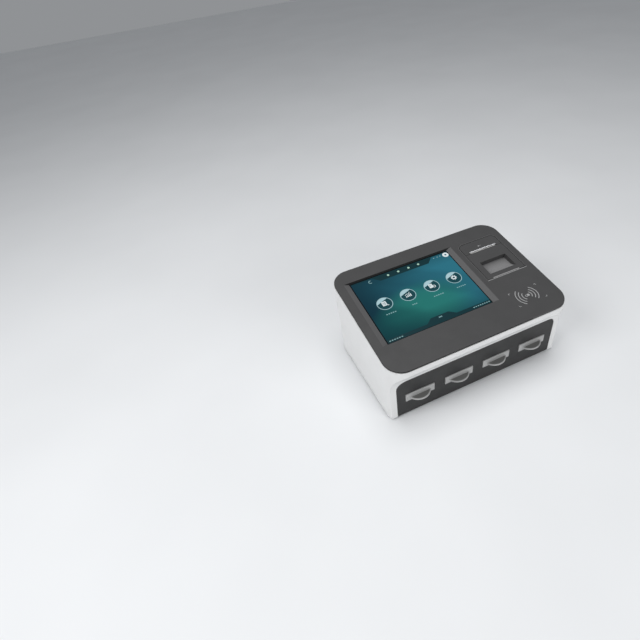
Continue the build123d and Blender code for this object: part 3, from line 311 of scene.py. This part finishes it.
def maths(tree, operation, first, second=0.0):
    """One step of arithmetic."""
    return new_node(tree, "ShaderNodeMath", {0: first, 1: second}, operation=operation).outputs[0]


def overlap(tree, *masks):
    """Where all masks are on."""
    product = masks[0]
    for mask in masks[1:]:
        product = maths(tree, "MULTIPLY", product, mask)
    return product


def within(tree, value, middle, reach):
    """Where a value is nearer to a middle than a reach."""
    distance = maths(tree, "ABSOLUTE", maths(tree, "SUBTRACT", value, middle))
    return maths(tree, "LESS_THAN", distance, reach)


def bump(tree, height, depth, strength, under=None):
    """A bump of a real depth, on top of another."""
    inputs = {"Height": height, "Distance": depth, "Strength": strength}
    if under:
        inputs["Normal"] = under
    return new_node(tree, "ShaderNodeBump", inputs).outputs["Normal"]


def shade(colour, factor):
    """A colour made lighter or darker."""
    return tuple(min(1.0, part * factor) for part in colour) + (1.0,)


# ---- materials ----
def plastic(name, colour, roughness, grain=0.0006, grain_depth=0.00002, mottle=0.05, polish=0.06, coat=0.0):
    """Moulded plastic: fine grain, faint flow mottling, and gloss that varies with handling."""
    made, tree, shader = blank_material(name)
    point = place_of(tree)
    flow = spread(tree, noise(tree, point, size=0.035, detail=4.0))
    tint = mix(tree, flow, shade(colour, 1 - mottle), shade(colour, 1 + mottle))
    tree.links.new(tint, shader.inputs["Base Color"])
    handled = noise(tree, point, size=0.012, detail=5.0)
    tree.links.new(spread(tree, handled, roughness - polish, roughness + polish), shader.inputs["Roughness"])
    fine = noise(tree, point, grain, detail=2.0)
    waves = bump(tree, noise(tree, point, size=0.02, detail=2.0), depth=0.00004, strength=0.5)
    tree.links.new(bump(tree, fine, grain_depth, strength=0.8, under=waves), shader.inputs["Normal"])
    shader.inputs["Coat Weight"].default_value = coat
    shader.inputs["Coat Roughness"].default_value = 0.25
    return made


def pocket_masks(tree, up):
    """Where the lid's finger pocket is, and its floor, with painted light that grows from the floor's back to
    its front.
    """
    margin = 0.0003
    parts = new_node(tree, "ShaderNodeSeparateXYZ", {"Vector": place_on(tree, deck)}).outputs
    beside = within(tree, parts["X"], printer_x, pocket_width / 2 + margin)
    sunk = maths(tree, "LESS_THAN", parts["Z"], -0.0002)
    ahead = maths(tree, "LESS_THAN", parts["Y"], pocket_back + margin)
    pocket = overlap(tree, beside, sunk, ahead)
    level = maths(tree, "GREATER_THAN", up, 0.6)
    # Painted light: the pocket's floor is coloured lighter from its back to its front.
    painted_pocket_light = ramp(tree, parts["Y"], pocket_back, pocket_front, 0.22, 1.0)
    return pocket, overlap(tree, pocket, level, painted_pocket_light)


def deck_plastic(name, colour):
    """The deck's plastic, with painted light on the bevels beside the screen and on the pocket's floor, and
    painted shade, near black, on its upright edges.
    """
    made = plastic(name, colour, 0.55, grain=0.0005, grain_depth=0.00003, polish=0.05)
    tree = made.node_tree
    shader = tree.nodes["Principled BSDF"]
    shader.inputs["Specular IOR Level"].default_value = 0.35
    plain = shader.inputs["Base Color"].links[0].from_socket
    coordinates = new_node(tree, "ShaderNodeTexCoord").outputs
    facing = new_node(tree, "ShaderNodeSeparateXYZ", {"Vector": coordinates["Normal"]}).outputs
    place = new_node(tree, "ShaderNodeSeparateXYZ", {"Vector": coordinates["Object"]}).outputs
    # Painted light: the bevels beside the screen, which lean sideways, are coloured lighter.
    leaning = ramp(tree, maths(tree, "ABSOLUTE", facing["X"]), 0.12, 0.25)
    beside = within(tree, place["X"], screen_left + screen_width / 2, screen_width / 2 + bevel_width + 0.001)
    tint = mix(tree, overlap(tree, leaning, beside), plain, shade(colour, 1.7))
    pocket, floor = pocket_masks(tree, facing["Z"])
    # Painted light on the pocket's floor.
    tint = mix(tree, floor, tint, shade(colour, 5.5))
    # Painted shade: upright faces outside the pocket are coloured near black, for the shadow line under the
    # deck's rim and at the screen's ends.
    upright = ramp(tree, facing["Z"], 0.55, 0.75, 1.0, 0.0)
    dark = overlap(tree, upright, maths(tree, "SUBTRACT", 1.0, pocket))
    tree.links.new(mix(tree, dark, tint, (0.006, 0.006, 0.006, 1)), shader.inputs["Base Color"])
    return made


def metal(name, colour, roughness, stretch, depth=0.000008):
    """Rolled, drawn or ground metal, with fine lines along one way."""
    made, tree, shader = blank_material(name)
    lines = noise(tree, place_of(tree, stretch), size=0.02, detail=6.0)
    cloud = spread(tree, noise(tree, place_of(tree), size=0.02))
    tree.links.new(mix(tree, cloud, shade(colour, 0.88), shade(colour, 1.05)), shader.inputs["Base Color"])
    tree.links.new(spread(tree, lines, roughness * 0.7, roughness * 1.3), shader.inputs["Roughness"])
    tree.links.new(bump(tree, lines, depth, strength=0.6), shader.inputs["Normal"])
    shader.inputs["Metallic"].default_value = 1.0
    return made


def rubber(name, colour):
    """Moulded rubber with a fine sheen."""
    made = plastic(name, colour, 0.75, grain=0.0004, grain_depth=0.00003, mottle=0.12, polish=0.08)
    made.node_tree.nodes["Principled BSDF"].inputs["Sheen Weight"].default_value = 0.15
    return made


def circuit_board(name):
    """Green solder mask over copper tracks, with bright pads."""
    made, tree, shader = blank_material(name)
    point = place_of(tree)
    tracks = new_node(
        tree,
        "ShaderNodeTexBrick",
        {"Vector": point, "Scale": 90.0, "Mortar Size": 0.018, "Brick Width": 0.9, "Row Height": 0.22},
    ).outputs["Fac"]
    pads = new_node(tree, "ShaderNodeTexVoronoi", {"Vector": point, "Scale": 260.0})
    pad_share = maths(tree, "LESS_THAN", pads.outputs["Distance"], 0.16)
    mask = mix(tree, tracks, (0.006, 0.09, 0.035, 1), (0.012, 0.17, 0.07, 1))
    tree.links.new(mix(tree, pad_share, mask, (0.62, 0.6, 0.52, 1)), shader.inputs["Base Color"])
    tree.links.new(pad_share, shader.inputs["Metallic"])
    tree.links.new(bump(tree, tracks, depth=0.00004, strength=0.6), shader.inputs["Normal"])
    shader.inputs["Roughness"].default_value = 0.32
    return made


def paper(name):
    """Uncoated paper, cloudy and with fibres."""
    made, tree, shader = blank_material(name)
    fibres = noise(tree, place_of(tree, (1, 3, 3)), size=0.0015, detail=5.0)
    cloud = spread(tree, noise(tree, place_of(tree), size=0.01))
    tint = mix(tree, cloud, (0.80, 0.79, 0.76, 1), (0.88, 0.88, 0.86, 1))
    tree.links.new(tint, shader.inputs["Base Color"])
    tree.links.new(spread(tree, fibres, 0.75, 0.95), shader.inputs["Roughness"])
    tree.links.new(bump(tree, fibres, depth=0.00003, strength=0.7), shader.inputs["Normal"])
    return made


def flat_cable(name):
    """Copper lines under clear film."""
    made, tree, shader = blank_material(name)
    waves = {"Vector": place_of(tree), "Scale": 160.0}
    lines = new_node(tree, "ShaderNodeTexWave", waves, bands_direction="X").outputs["Fac"]
    tree.links.new(mix(tree, lines, (0.35, 0.14, 0.03, 1), (0.75, 0.36, 0.1, 1)), shader.inputs["Base Color"])
    tree.links.new(spread(tree, lines, 0.25, 0.4), shader.inputs["Roughness"])
    shader.inputs["Coat Weight"].default_value = 0.5
    return made


def uneven(tree, colour):
    """A colour with the faint unevenness of ink or of a backlight."""
    cloud = spread(tree, noise(tree, place_of(tree), size=0.004))
    return mix(tree, cloud, shade(colour, 0.96), shade(colour, 1.0))


def ink(name, colour):
    """A flat matt mark, for print and for painted highlights."""
    made, tree, shader = blank_material(name)
    tree.links.new(uneven(tree, colour), shader.inputs["Base Color"])
    shader.inputs["Roughness"].default_value = 0.35
    return made


def lit(name, colour):
    """A mark lit from behind."""
    made, tree, shader = blank_material(name)
    tree.links.new(uneven(tree, colour), shader.inputs["Emission Color"])
    shader.inputs["Emission Strength"].default_value = 1.0
    shader.inputs["Base Color"].default_value = (0.002, 0.002, 0.002, 1)
    shader.inputs["Specular IOR Level"].default_value = 0.12
    shader.inputs["Roughness"].default_value = 0.35
    return made


def glow(tree, across, along, middle, size):
    """A soft round spot of light on the screen, from 1 at its middle to 0 at its edge."""
    dx = maths(tree, "DIVIDE", maths(tree, "SUBTRACT", across, middle[0]), size[0])
    dy = maths(tree, "DIVIDE", maths(tree, "SUBTRACT", along, middle[1]), size[1])
    squared = maths(tree, "ADD", maths(tree, "MULTIPLY", dx, dx), maths(tree, "MULTIPLY", dy, dy))
    return ramp(tree, squared, 0.0, 1.0, 1.0, 0.0, "SMOOTHSTEP")


def screen_wash(tree, local, across, along):
    """The picture's ground: navy to teal, greener at its middle and darker at its top and bottom."""
    sweep = maths(tree, "ADD", across, maths(tree, "MULTIPLY", along, 0.18))
    side = ramp(tree, sweep, 0.05, 1.0, kind="SMOOTHSTEP")
    wash = mix(tree, side, (0.004, 0.030, 0.047, 1), (0.022, 0.155, 0.215, 1))
    green = glow(tree, across, along, middle=(0.50, 0.30), size=(0.50, 0.42))
    wash = mix(tree, maths(tree, "MULTIPLY", green, 0.90), wash, (0.018, 0.175, 0.150, 1))
    leaf = glow(tree, across, along, middle=(0.18, 0.22), size=(0.30, 0.30))
    wash = mix(tree, maths(tree, "MULTIPLY", leaf, 0.55), wash, (0.007, 0.085, 0.082, 1))
    wash = mix(tree, ramp(tree, along, 0.02, 0.26, 0.72, 0.0), wash, (0.004, 0.036, 0.042, 1))
    wash = mix(tree, ramp(tree, along, 0.80, 1.05, 0.0, 0.6), wash, (0.006, 0.034, 0.050, 1))
    waves = {"Vector": local, "Scale": 0.75, "Distortion": 2.2, "Detail": 1.5, "Detail Scale": 0.6}
    folds = new_node(tree, "ShaderNodeTexWave", waves, bands_direction="DIAGONAL").outputs["Fac"]
    return mix(tree, spread(tree, folds, 0.0, 0.22), wash, (0.003, 0.026, 0.044, 1))


def lit_screen(name):
    """Polished glass over a lit picture in a black border."""
    made, tree, shader = blank_material(name)
    local = place_on(tree, screen, (screen_width, screen_length, 1))
    parts = new_node(tree, "ShaderNodeSeparateXYZ", {"Vector": local}).outputs
    across, along = parts["X"], parts["Y"]
    inside_x = within(tree, across, 0.5, 0.5 - border_x)
    inside_y = within(tree, along, 0.5, 0.5 - border_y)
    wash = screen_wash(tree, local, across, along)
    picture = mix(tree, overlap(tree, inside_x, inside_y), (0.002, 0.003, 0.004, 1), wash)
    tree.links.new(picture, shader.inputs["Emission Color"])
    shader.inputs["Emission Strength"].default_value = 1.0
    shader.inputs["Base Color"].default_value = (0.0015, 0.002, 0.0025, 1)
    shader.inputs["Specular IOR Level"].default_value = 0.12
    smears = noise(tree, place_of(tree), size=0.03, detail=5.0)
    tree.links.new(spread(tree, smears, 0.05, 0.12), shader.inputs["Roughness"])
    return made


def painted_floor(name):
    """A pale matt studio floor."""
    made, tree, shader = blank_material(name)
    cloud = spread(tree, noise(tree, place_of(tree), size=0.25, detail=2.0))
    tint = mix(tree, cloud, (0.80, 0.81, 0.82, 1), (0.83, 0.84, 0.85, 1))
    tree.links.new(tint, shader.inputs["Base Color"])
    shader.inputs["Roughness"].default_value = 0.65
    return made


# ---- the finish of each of the record's material slots ----
finishes = {
    "casing_white": plastic(
        "casing white", (0.80, 0.80, 0.795), 0.36,
        grain=0.0009, grain_depth=0.000012, mottle=0.012, polish=0.05, coat=0.15,
    ),
    "deck_dark": deck_plastic("deck dark", (0.056, 0.0555, 0.056)),
    "panel_dark": plastic("panel dark", (0.020, 0.020, 0.020), 0.52, mottle=0.06, polish=0.05),
    "tray_light": plastic(
        "tray light", (0.40, 0.40, 0.395), 0.32,
        grain=0.0008, grain_depth=0.00001, mottle=0.04, polish=0.05, coat=0.2,
    ),
    "tray_body": plastic("tray body", (0.50, 0.51, 0.52), 0.45),
    "black_plastic": plastic("black plastic", (0.022, 0.022, 0.024), 0.48, mottle=0.15),
    "screen_glass": lit_screen("screen glass"),
    "display": plastic("display", (0.02, 0.02, 0.025), 0.25),
    "steel_sheet": metal("steel sheet", (0.56, 0.57, 0.58), 0.34, (3, 40, 40)),
    "steel_bright": metal("steel bright", (0.62, 0.62, 0.63), 0.36, (3, 20, 20), 0.0000005),
    "steel_screw": metal("steel screw", (0.55, 0.55, 0.57), 0.30, (20, 20, 4)),
    "motor_metal": metal("motor metal", (0.42, 0.42, 0.44), 0.38, (4, 30, 30)),
    "board_green": circuit_board("board green"),
    "rubber_black": rubber("rubber black", (0.018, 0.018, 0.018)),
    "gear_white": plastic("gear white", (0.74, 0.72, 0.66), 0.45),
    "paper": paper("paper"),
    "ceramic_head": metal("ceramic head", (0.45, 0.43, 0.40), 0.45, (20, 20, 20), 0.00002),
    "copper_flat": flat_cable("copper flat"),
}

# ---- the finishes of the marks and of the small pieces ----
# Grey for print, and for the painted highlight in front of the printer's lid.
print_and_highlight_grey = ink("printed grey", (0.37, 0.37, 0.37))
# Painted highlight along the edges of the printer's opening.
painted_edge_highlight = ink("edge grey", (0.16, 0.16, 0.16))
mark_white = lit("lit white", (0.72, 0.80, 0.82))
mark_ring = lit("lit ring", (0.34, 0.52, 0.56))
mark_shine = lit("lit shine", (0.40, 0.58, 0.63))
mark_pale = lit("lit pale", (0.24, 0.42, 0.44))
mark_well = lit("lit well", (0.006, 0.055, 0.070))
mark_dark = lit("lit dark", (0.003, 0.030, 0.038))
mark_lamp = lit("lit lamp", (0.40, 0.62, 0.50))
socket_gold = metal("socket gold", (0.83, 0.60, 0.25), 0.22, (10, 10, 10))
# Painted shade for the screws' cross recesses.
painted_recess_shade = plastic("recess black", (0.006, 0.006, 0.007), 0.7)
tab_face = plastic(
    "tab face", (0.135, 0.135, 0.130), 0.36, grain=0.0008, grain_depth=0.00001, polish=0.05, coat=0.2
)


def dress_nodes():
    """Every solid gets the finish of its material slot."""
    for entry in frame["record"]["subparts"]:
        target = frame["nodes"][entry["node"]]
        target.data.materials.clear()
        target.data.materials.append(finishes[entry["material_slot"]])


# ---- the screen's picture ----
def on_screen(share_x, share_y):
    """A place on the screen from shares of its width and length."""
    return share_x * screen_width, share_y * screen_length


def dashes(x, y, length, height):
    """A row of short bars."""
    count = max(3, round(length / dash_pitch))
    step = length / count
    left = x - length / 2
    return [rectangle(left + step * (k + 0.5), y, step * dash_share, height) for k in range(count)]


def ruled_lines(x, y, length, steps):
    """Lines across a sheet, at whole steps from its middle."""
    return [rectangle(x, y + k * ruled_pitch, length, ruled_width) for k in steps]


def list_sign(x, y):
    """A sheet with ruled lines, and a pen at its lower right corner."""
    sheet_x = x - 0.0008
    sheet = rounded(sheet_x, y, width=0.0072, height=0.0088, radius=sheet_corner)
    pen = stroke(x + 0.0030, y - 0.0040, x + 0.0048, y - 0.0052, width=0.0012)
    return [sheet, pen], ruled_lines(sheet_x, y, 0.0048, (-1, 0, 1))


def chart_sign(x, y):
    """Four bars under a rising line."""
    left, foot = x - 0.0039, y - 0.0042
    pitch = 0.0026
    shapes = []
    for k in range(4):
        height = 0.0022 + 0.0011 * k
        shapes.append(rectangle(left + pitch * k, foot + height / 2, width=0.0017, height=height))
    rise = [(-0.0048, 0.0002), (-0.0014, 0.0022), (0.0008, 0.0014), (0.0046, 0.0044)]
    for (x1, y1), (x2, y2) in zip(rise, rise[1:]):
        shapes.append(stroke(x + x1, y + y1, x + x2, y + y2, width=0.0008))
    return shapes, []


def report_sign(x, y):
    """A sheet with a small clock at its corner."""
    sheet = rounded(x - 0.0014, y + 0.0004, width=0.0062, height=0.0084, radius=sheet_corner)
    clock = ring(x + 0.0032, y - 0.0022, inner=0.0016, outer=0.0026, sides=32)
    return [sheet, clock], ruled_lines(x - 0.0020, y, 0.0034, (0, 1))


def gear_sign(x, y):
    """A toothed wheel."""
    shapes = [ring(x, y, inner=0.0019, outer=0.0036, sides=48)]
    teeth = 8
    for k in range(teeth):
        root = on_circle(x, y, 0.0034, 360 * k / teeth)
        tip = on_circle(x, y, 0.0047, 360 * k / teeth)
        shapes.append(stroke(*root, *tip, width=0.0016))
    return shapes, []


def screen_icons():
    """Four round buttons in a row, each with a sign, and a row of short bars below it."""
    signs = [list_sign, chart_sign, report_sign, gear_sign]
    for number, (share, sign, length) in enumerate(zip(icon_places, signs, label_lengths), start=1):
        x, y = on_screen(share, icon_height)
        on_glass(f"icon_{number}_well", [disc(x, y, icon_radius)], mark_well)
        on_glass(f"icon_{number}_shine", [segment(x, y, icon_radius * 0.94, 48, 172)], mark_shine, layer=1)
        on_glass(f"icon_{number}_ring", [ring(x, y, icon_radius * 0.915, icon_radius)], mark_ring, layer=1)
        shapes, lines = sign(x, y)
        on_glass(f"icon_{number}_sign", shapes, mark_white, layer=2)
        if lines:
            on_glass(f"icon_{number}_lines", lines, mark_well, layer=3)
        bars = dashes(*on_screen(share, label_height), length, height=0.0016)
        on_glass(f"icon_{number}_label", bars, mark_pale)


def bar_outline(edge, shoulder, deep, turns):
    """A bar along the picture's top or bottom edge, deeper between the inner two of its four turns."""
    left, right = border_x, 1 - border_x
    corners = [
        (left, edge),
        (left, shoulder),
        (turns[0], shoulder),
        (turns[1], deep),
        (turns[2], deep),
        (turns[3], shoulder),
        (right, shoulder),
        (right, edge),
    ]
    return [[on_screen(*corner) for corner in corners]]


def screen_bars():
    """The dark bars at the top and bottom of the picture, with lamps, a button and small marks."""
    top_bar = bar_outline(1 - border_y, top_bar_edge, top_bar_dip, top_bar_turns)
    low_bar = bar_outline(border_y, low_bar_edge, low_bar_rise, low_bar_turns)
    on_glass("screen_bars", [top_bar, low_bar], mark_dark)
    lamps = [disc(*on_screen(share, lamp_height), 0.0019, sides=24) for share in lamp_places]
    on_glass("screen_lamps", lamps, mark_lamp, layer=1)
    x, y = on_screen(*button_place)
    on_glass("screen_button", [ring(x - 0.001, y, inner=0.0018, outer=0.0052, sides=40)], mark_white, layer=1)
    small = [disc(*on_screen(share, spot_height), 0.0010, sides=16) for share in spot_places]
    small += dashes(*on_screen(0.088, foot_height), length=0.023, height=0.0014)
    small += dashes(*on_screen(0.900, foot_height), length=0.030, height=0.0014)
    small += dashes(*on_screen(0.522, 0.090), length=0.006, height=0.0022)
    on_glass("screen_small_marks", small, mark_pale, layer=1)
    moon = arc(*on_screen(*moon_place), inner=0.0022, outer=0.0032, start=60, end=300)
    on_glass("screen_moon", [moon], mark_pale)


# ---- marks on the deck ----
def card_mark():
    """The contactless reading mark: a dot, a small ring, waves each side and four corner ticks."""
    x, y = 0.0995, 0.0405
    wave_half = 0.0006
    tick_width = 0.0007
    tick_end = 0.0026
    shapes = [disc(x + 0.0012, y, 0.0022, sides=32)]
    shapes.append(ring(x - 0.0022, y - 0.0004, inner=0.0013, outer=0.0021, sides=32))
    for radius in (0.0080, 0.0130, 0.0178):
        shapes.append(arc(x - 0.0005, y, radius - wave_half, radius + wave_half, 128, 232))
    for radius in (0.0064, 0.0112, 0.0160):
        shapes.append(arc(x + 0.0005, y, radius - wave_half, radius + wave_half, -52, 52))
    for side in (-1, 1):
        for end in (-1, 1):
            corner_x, corner_y = x + side * 0.0245, y + end * 0.0143
            shapes.append(stroke(corner_x, corner_y, corner_x - side * tick_end, corner_y, tick_width))
            upper, lower = corner_y - end * 0.0004, corner_y - end * tick_end
            shapes.append(stroke(corner_x, upper, corner_x, lower, tick_width))
    on_deck("card_mark", shapes, print_and_highlight_grey)


def printer_lines():
    """Painted highlights: a thin light line round the printer's opening, and a brighter one in front of its
    lid.
    """
    margin = 0.0006
    front_margin = 0.0008
    line = 0.0004
    front_line = 0.0009
    half = opening_width / 2 + margin
    left, right = printer_x - half, printer_x + half
    front, back = opening_front - front_margin, opening_back + margin
    turn = opening_round + margin
    shapes = [
        stroke(left, front, left, back - turn, line),
        stroke(right, front, right, back - turn, line),
        stroke(left + turn, back, right - turn, back, line),
        arc(left + turn, back - turn, turn - line / 2, turn + line / 2, 90, 180),
        arc(right - turn, back - turn, turn - line / 2, turn + line / 2, 0, 90),
    ]
    on_deck("printer_edge_highlight", shapes, painted_edge_highlight)
    # Painted highlight of the lid's front edge.
    on_deck("lid_front_highlight", [stroke(left, front, right, front, front_line)], print_and_highlight_grey, 2 * clear)


def slot_ends():
    """The covers that close the paper slot on each side of the tear bar."""
    bar_gap = 0.0003
    lid_clearance = 0.0004
    thickness = 0.0015
    inner = tear_bar_width / 2 + bar_gap
    outer = opening_width / 2 - lid_gap
    front, back = lid_back + lid_clearance, bezel_front
    for side, name in ((-1, "left"), (1, "right")):
        x = printer_x + side * (inner + outer) / 2
        cover = rectangle(x, (front + back) / 2, outer - inner, back - front)
        flat_piece(f"slot_end_{name}", [cover], deck, "chassis", finishes["deck_dark"], -thickness, thickness)


def paper_mark():
    """A small sheet and a dash behind the paper slot."""
    x, y = printer_x - 0.0010, deck_length - 0.0475
    sheet = rectangle(x - 0.0018, y, width=0.0026, height=0.0020)
    dash = stroke(x + 0.0006, y, x + 0.0026, y, width=0.0006)
    on_deck("paper_mark", [sheet, dash], print_and_highlight_grey)


# ---- trays ----
def tray_tabs():
    """The darker face of each thumb tab, inside its bright rim."""
    radius = ((tab_chord / 2) ** 2 + tab_reach**2) / (2 * tab_reach)
    face_radius = radius - tab_rim
    half = chord_angle(face_radius, radius - tab_reach + tab_root_gap)
    place = Matrix.Translation((0, 0, tab_top))
    for number in range(1, tray_count + 1):
        low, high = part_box(f"tray_{number}_front")
        face = segment((low.x + high.x) / 2, low.y + radius, face_radius, 270 - half, 270 + half, steps=40)
        flat_piece(f"tray_{number}_tab_face", [face], place, f"tray_{number}", tab_face, thickness=0.00012)


# ---- the back and the underside ----
def socket_contacts():
    """The sprung contacts inside the network socket."""
    low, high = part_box("lan_socket")
    middle = (low.x + high.x) / 2
    count = 8
    pitch = 0.00102
    behind_face = 0.0065
    below_top = 0.0049
    shapes = []
    for k in range(count):
        x = middle + (k - (count - 1) / 2) * pitch
        shapes.append(rectangle(x, high.y - behind_face, width=0.00045, height=0.007))
    place = Matrix.Translation((0, 0, high.z - below_top))
    flat_piece("network_contacts", shapes, place, "chassis", socket_gold, lift=0, thickness=0.0002)


def switch_marks():
    """The line and ring that show on and off, on the two halves of the rocker's face."""
    low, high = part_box("power_rocker")
    pivot = Vector(((low.x + high.x) / 2, rocker_pivot_y, (low.z + high.z) / 2))
    facing_back = Matrix.Rotation(pi, 4, "Z") @ Matrix.Rotation(pi / 2, 4, "X")
    face = Matrix.Translation(pivot) @ Matrix.Rotation(-rocker_tilt, 4, "X") @ facing_back
    slope = atan2(rocker_rise, rocker_half)
    along, out = 0.0046, 0.00318
    line = face @ Matrix.Translation((0, along, out)) @ Matrix.Rotation(slope, 4, "X")
    circle = face @ Matrix.Translation((0, -along, out)) @ Matrix.Rotation(-slope, 4, "X")
    bar = rectangle(0, 0, width=0.0006, height=0.0034)
    flat_piece("switch_on_mark", [bar], line, "power_rocker", print_and_highlight_grey)
    round_mark = ring(0, 0, inner=0.0012, outer=0.0018, sides=32)
    flat_piece("switch_off_mark", [round_mark], circle, "power_rocker", print_and_highlight_grey)


def screw_drives():
    """The cross recess in each screw of the base, seen from below, as a near black sheet: painted shade for
    the hollow.
    """
    corners = frame["nodes"]["base_screws"].data.vertices
    lowest = min(corner.co.z for corner in corners)
    same_level = 0.0001
    apart = 0.02
    heads = {}
    for corner in corners:
        if corner.co.z - lowest < same_level:
            key = (round(corner.co.x / apart), round(corner.co.y / apart))
            heads.setdefault(key, []).append(corner.co.copy())
    length, width = 0.0030, 0.0007
    arm = (length - width) / 2
    arm_gap = 0.000005
    arm_middle = (width + arm) / 2 + arm_gap
    shapes = []
    for points in heads.values():
        x = (min(p.x for p in points) + max(p.x for p in points)) / 2
        y = (min(p.y for p in points) + max(p.y for p in points)) / 2
        shapes.append(rectangle(x, -y, length, width))
        shapes.append(rectangle(x, -y + arm_middle, width, arm))
        shapes.append(rectangle(x, -y - arm_middle, width, arm))
    facing_down = Matrix.Translation((0, 0, lowest)) @ Matrix.Rotation(pi, 4, "X")
    flat_piece("screw_drives", shapes, facing_down, "chassis", painted_recess_shade, lift=0.00001, thickness=0.00003)


# ---- studio ----
def studio_floor():
    """The floor that the reader stands on."""
    bpy.ops.mesh.primitive_plane_add(size=8, location=(0, 0, 0))
    floor = bpy.context.object
    floor.name = "studio_floor"
    floor.data.materials.append(painted_floor("studio floor"))


def area_light(name, place, target, size, power):
    """A soft light that looks at a point."""
    data = bpy.data.lights.new(name, "AREA")
    data.shape = "RECTANGLE"
    data.size, data.size_y = size
    data.energy = power
    light = bpy.data.objects.new(name, data)
    light.location = place
    aim = Vector(target) - Vector(place)
    light.rotation_euler = aim.to_track_quat("-Z", "Y").to_euler()
    bpy.context.collection.objects.link(light)


def studio_lights():
    """Three soft lights and a pale sky."""
    area_light("key", (-1.3, -0.2, 1.2), (0, 0, 0.06), size=(0.8, 0.8), power=11.5)
    area_light("fill", (0.5, -1.6, 0.8), (0, 0, 0.05), size=(1.0, 0.6), power=10)
    area_light("top", (0.0, 0.1, 1.7), (0, 0, 0.1), size=(1.0, 1.0), power=11)
    world = bpy.data.worlds.new("studio")
    bpy.context.scene.world = world
    world.use_nodes = True
    sky = world.node_tree.nodes["Background"]
    sky.inputs["Color"].default_value = (0.93, 0.96, 1.0, 1)
    sky.inputs["Strength"].default_value = 0.30


def camera():
    """The photograph's viewpoint, worked out from the casing's straight edges."""
    azimuth, elevation, roll = -0.3541, 0.74, -0.1247
    picture_width = 640
    focal_pixels = 465.33
    middle_x, middle_y = 365, 325
    sensor_width = 36.0
    place = Vector((-0.31144, -0.46925, 0.57305))
    back = Vector((sin(azimuth) * cos(elevation), -cos(azimuth) * cos(elevation), sin(elevation)))
    level = (-back).cross(Vector((0, 0, 1))).normalized()
    upright = level.cross(-back)
    right = cos(roll) * level + sin(roll) * upright
    up = -sin(roll) * level + cos(roll) * upright
    data = bpy.data.cameras.new("photograph")
    data.sensor_width = sensor_width
    data.lens = focal_pixels / picture_width * sensor_width
    data.shift_x = (picture_width / 2 - middle_x) / picture_width
    data.shift_y = (middle_y - picture_width / 2) / picture_width
    made = bpy.data.objects.new("photograph", data)
    turned = Matrix((right, up, back)).transposed().to_4x4()
    made.matrix_world = Matrix.Translation(place) @ turned
    bpy.context.collection.objects.link(made)
    bpy.context.scene.camera = made


bpy.context.scene.view_settings.view_transform = "Standard"
camera()
studio_floor()
studio_lights()
dress_nodes()
screen_icons()
screen_bars()
card_mark()
printer_lines()
slot_ends()
paper_mark()
tray_tabs()
socket_contacts()
switch_marks()
screw_drives()
